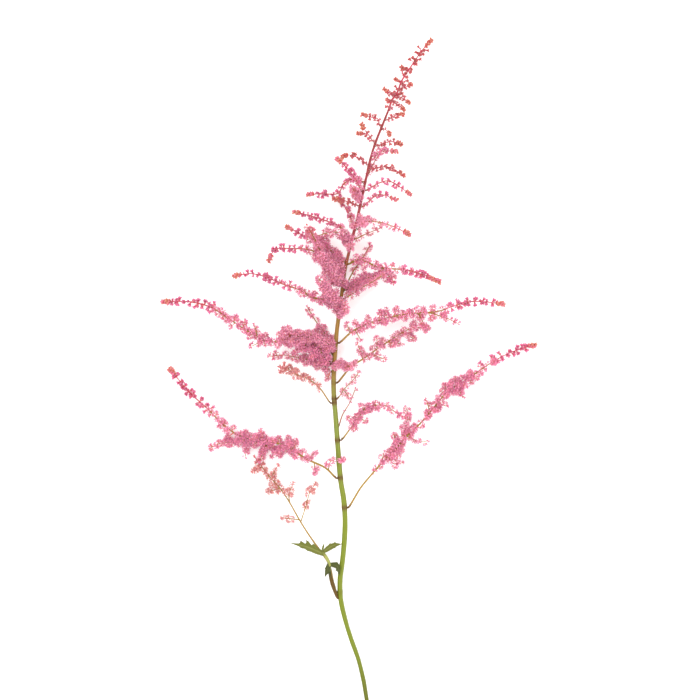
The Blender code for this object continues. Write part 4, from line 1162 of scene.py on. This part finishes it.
def grow_stem(settings):
    """The stem as a ribbed tube, swollen at its knots, with bracts and down."""
    pile = Pile(random.Random(STEM_SEED))
    side_sprays = (*LEFT_SPRAYS, *RIGHT_SPRAYS)
    knots = [(knot_at(spray.at)[2], 1.0 if spray.at < LOW_KNOTS else 0.45) for spray in side_sprays]
    sides = settings.sides
    side = UP.copy()
    rings, facts = [], {"along": [], "rib": [], "knot": []}
    for mark in np.arange(0, STEM_LINE.total, settings.step / MM):
        spot, heading = STEM_LINE.at(mark)
        side = square_to(heading, side)
        over = heading.cross(side)
        knot = max(math.exp(-(((mark - at) / 2.0) ** 2)) * weight for at, weight in knots)
        radius = stem_radius(spot.y + MIDDLE_Y) + settings.knot_swell / MM * knot
        ring = []
        for i in range(sides):
            turn = FULL_TURN * i / sides
            rib = math.cos(settings.rib_count * turn + 0.02 * mark)
            wave = settings.rib_depth / MM * rib + 0.05 * math.sin(mark * 0.21 + 2 * turn)
            ring.append(spot + around(side, over, turn) * (radius + wave))
            facts["rib"].append(0.5 - 0.5 * rib)
        rings.append(ring)
        facts["along"].extend([mark / STEM_LINE.total] * sides)
        brown = knot * float(np.interp(mark, (110, 130, 300, 360), (0.3, 1.0, 1.0, 0.3)))
        facts["knot"].extend([brown] * sides)
    middle = rings[0][0].lerp(rings[0][sides // 2], 0.5)
    face = [point.lerp(middle, 0.25) for point in rings[0]]
    inner = np.mean(face, axis=0) + np.array(STEM_LINE.at(0)[1]) * 0.25
    points, faces = loft([[inner], face, *rings, [STEM_LINE.at(STEM_LINE.total)[0]]])
    for name, values in facts.items():
        facts[name] = np.array([values[0]] * (sides + 1) + values + [values[-1]])
    pile.add(points, faces, SKIN, cut=np.arange(len(points)) <= sides, **facts)
    for spray in side_sprays:
        grow_bract(pile, spray)
    grow_down(pile, settings)
    piece = pile.piece("stem_main", (stem_paint(), bark_paint(), hair_paint()))
    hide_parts("main_stem")
    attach(piece, BODY)


def grow_down(pile, settings):
    """Short rosy down on the upper two thirds of the stem."""
    rng = pile.rng
    for _ in range(settings.hairs):
        spot, heading = STEM_LINE.at(STEM_LINE.total * rng.uniform(0.3, 1.0))
        turn = rng.uniform(0, FULL_TURN)
        out = around(*any_cross(heading), turn)
        foot = spot + out * stem_radius(spot.y + MIDDLE_Y) * 0.97
        axis = (out + heading * rng.uniform(-0.4, 0.6)).normalized()
        pile.put(HAIR, foot, axis, turn, settings.hair_length / MM * rng.uniform(0.5, 1.2), 0.0)


def blade_grid(leaflet):
    """Places, veins and shares of a leaflet's upper face: toothed, and folded up along its midrib."""
    route = Route([place(spot) for spot in (leaflet.base, leaflet.bend, leaflet.tip)], step=0.5)
    points, veins, along = [], [], []
    for i in range(BLADE_ROWS + 1):
        share = i / BLADE_ROWS
        spot, heading = route.at(share * route.total)
        side, lift = level_cross(heading)
        body = leaflet.width / 2 * math.sin(math.pi * min(share * 0.9 + 0.1, 1.0)) ** 0.7
        body = body * (1 - 0.7 * share**4) * (1 - leaflet.slim * share**1.4)
        for j in range(-BLADE_COLUMNS, BLADE_COLUMNS + 1):
            across = j / BLADE_COLUMNS
            teeth = [
                size * max(0.0, 1 - abs(share - at) / TOOTH_WIDTH)
                for at, hand, size in leaflet.teeth if hand * across > 0
            ]
            tooth = max([0.0, *teeth])
            out = body * abs(across) + tooth * abs(across) ** 4
            rib = math.exp(-((across / 0.14) ** 2))
            comb = math.cos((share - 0.16 * abs(across)) * 2 * math.pi * SIDE_VEINS)
            vein = max(rib, 0.7 * (max(0.0, comb) ** 6 * abs(across) ** 0.3) * (1 - share))
            height = out * leaflet.fold - 0.22 * vein + 0.12 * math.sin(share * 21 + 5 * across)
            forward = tooth * 0.9 * abs(across) ** 4
            points.append(spot + side * math.copysign(out, across) + lift * height + heading * forward)
            veins.append(vein)
            along.append(share + 0.25 * tooth * abs(across) ** 4)
    return np.array(points), veins, along


def grow_leaflet(pile, leaflet, thickness):
    """A leaflet as a thin closed blade."""
    width = 2 * BLADE_COLUMNS + 1
    top, veins, along = blade_grid(leaflet)
    count = len(top)
    quads = []
    for a in (i * width + j for i in range(BLADE_ROWS) for j in range(width - 1)):
        quads.append((a, a + width, a + width + 1, a + 1))
        quads.append((count + a, count + a + 1, count + a + width + 1, count + a + width))
    rim = [
        *range(width), *range(2 * width - 1, count, width),
        *range(count - 2, count - width - 1, -1), *range(count - 2 * width, 0, -width),
    ]
    quads.extend((a, b, count + b, count + a) for a, b in zip(rim, rim[1:] + rim[:1]))
    faces = [face for a, b, c, d in quads for face in ((a, b, c), (a, c, d))]
    pile.add(
        np.concatenate([top, top - (0, 0, thickness)]), np.array(faces), BLADE,
        vein=np.array(veins * 2), along=np.array(along * 2), shade=leaflet.shade,
    )


def grow_leaf(settings):
    """The leaf: a stalk with a brown sheath, two dark lobes half way and toothed leaflets at its end."""
    pile = Pile()
    route = Route(rooted([place(spot) for spot in LEAF_STALK], LEAF_AT, 1.6))
    pile.tube(route, LEAF_STALK_RADII, 14, RACHIS, 0.8)
    for leaflet in LEAFLETS:
        grow_leaflet(pile, leaflet, settings.thickness / MM)
    piece = pile.piece("leaf_blades", (leaf_paint(), leaf_stalk_paint()))
    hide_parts("leaf")
    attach(piece, BODY)


class ASTILBE_OT_stem(bpy.types.Operator):
    """Grows the main stem with its bracts and down"""

    bl_idname = "astilbe.stem"
    bl_label = "Grow Stem"

    def execute(self, context):
        grow_stem(context.scene.astilbe_stem)
        return {"FINISHED"}


class ASTILBE_OT_leaf(bpy.types.Operator):
    """Grows the toothed leaf on its stalk"""

    bl_idname = "astilbe.leaf"
    bl_label = "Grow Leaf"

    def execute(self, context):
        grow_leaf(context.scene.astilbe_leaf)
        return {"FINISHED"}


class ASTILBE_OT_left_sprays(bpy.types.Operator):
    """Grows the sprays on the left of the stem"""

    bl_idname = "astilbe.left_sprays"
    bl_label = "Grow Left Sprays"

    def execute(self, context):
        grow_sprays(LEFT_SPRAYS)
        return {"FINISHED"}


class ASTILBE_OT_right_sprays(bpy.types.Operator):
    """Grows the sprays on the right of the stem"""

    bl_idname = "astilbe.right_sprays"
    bl_label = "Grow Right Sprays"

    def execute(self, context):
        grow_sprays(RIGHT_SPRAYS)
        return {"FINISHED"}


class ASTILBE_OT_middle_sprays(bpy.types.Operator):
    """Grows the sprays over and under the stem"""

    bl_idname = "astilbe.middle_sprays"
    bl_label = "Grow Middle Sprays"

    def execute(self, context):
        grow_sprays((*FRONT_SPRAYS, *UNDER_SPRAYS))
        return {"FINISHED"}


class ASTILBE_OT_top_spray(bpy.types.Operator):
    """Grows the spray that ends the stem"""

    bl_idname = "astilbe.top_spray"
    bl_label = "Grow Top Spray"

    def execute(self, context):
        grow_sprays((TOP_SPRAY,))
        return {"FINISHED"}


class ASTILBE_OT_stage(bpy.types.Operator):
    """Lays the floor, hangs the lights and sets the camera over the stem"""

    bl_idname = "astilbe.stage"
    bl_label = "Set Stage"

    def execute(self, context):
        set_stage(context.scene, context.scene.astilbe_stage)
        return {"FINISHED"}


def set_stage(scene, settings):
    bpy.ops.mesh.primitive_plane_add(size=FLOOR_SIZE)
    floor = bpy.context.object
    floor.name = "floor"
    floor.data.materials.append(floor_paint())

    aim = place(AIM) * MM
    camera = bpy.data.cameras.new("camera")
    camera.lens = camera.sensor_width * settings.distance / settings.frame_width
    camera.clip_end = VIEW_END
    eye = bpy.data.objects.new("camera", camera)
    eye.location = aim + UP * settings.distance
    scene.collection.objects.link(eye)
    scene.camera = eye

    for name, spot, size in LIGHTS:
        light = bpy.data.lights.new(name + "_light", "AREA")
        light.shape, light.size, light.energy = "DISK", size, getattr(settings, name)
        lamp = bpy.data.objects.new(light.name, light)
        lamp.location = spot
        lamp.rotation_euler = (aim - lamp.location).to_track_quat("-Z", "Y").to_euler()
        scene.collection.objects.link(lamp)

    world = bpy.data.worlds.new("studio")
    world.use_nodes = True
    background = world.node_tree.nodes["Background"]
    background.inputs["Color"].default_value = SKY_TONE
    background.inputs["Strength"].default_value = settings.sky
    scene.world = world
    scene.view_settings.view_transform = "Standard"


class ASTILBE_PT_sidebar(bpy.types.Panel):
    """Lists the pieces and their sizes and colours"""

    bl_label = "Astilbe Stem"
    bl_space_type = "VIEW_3D"
    bl_region_type = "UI"
    bl_category = "Astilbe"

    def draw(self, context):
        for group, operators in STEPS:
            settings = getattr(context.scene, group)
            box = self.layout.box()
            for name in settings.__annotations__:
                box.prop(settings, name)
            for operator in operators:
                box.operator(operator)


STEPS = (
    ("astilbe_stem", ("astilbe.stem",)),
    ("astilbe_leaf", ("astilbe.leaf",)),
    ("astilbe_florets", (
        "astilbe.left_sprays", "astilbe.right_sprays", "astilbe.middle_sprays", "astilbe.top_spray",
    )),
    ("astilbe_stage", ("astilbe.stage",)),
)
GROUPS = {
    "astilbe_stem": AstilbeStem,
    "astilbe_leaf": AstilbeLeaf,
    "astilbe_florets": AstilbeFlorets,
    "astilbe_stage": AstilbeStage,
}
CLASSES = (
    *GROUPS.values(),
    ASTILBE_OT_stem,
    ASTILBE_OT_leaf,
    ASTILBE_OT_left_sprays,
    ASTILBE_OT_right_sprays,
    ASTILBE_OT_middle_sprays,
    ASTILBE_OT_top_spray,
    ASTILBE_OT_stage,
    ASTILBE_PT_sidebar,
)


def register():
    for made in CLASSES:
        bpy.utils.register_class(made)
    for name, group in GROUPS.items():
        setattr(bpy.types.Scene, name, PointerProperty(type=group))


def unregister():
    for name in GROUPS:
        delattr(bpy.types.Scene, name)
    for made in reversed(CLASSES):
        bpy.utils.unregister_class(made)


def main():
    register()
    bpy.ops.astilbe.stem()
    bpy.ops.astilbe.leaf()
    bpy.ops.astilbe.left_sprays()
    bpy.ops.astilbe.right_sprays()
    bpy.ops.astilbe.middle_sprays()
    bpy.ops.astilbe.top_spray()
    bpy.ops.astilbe.stage()


if __name__ == "__main__":
    main()
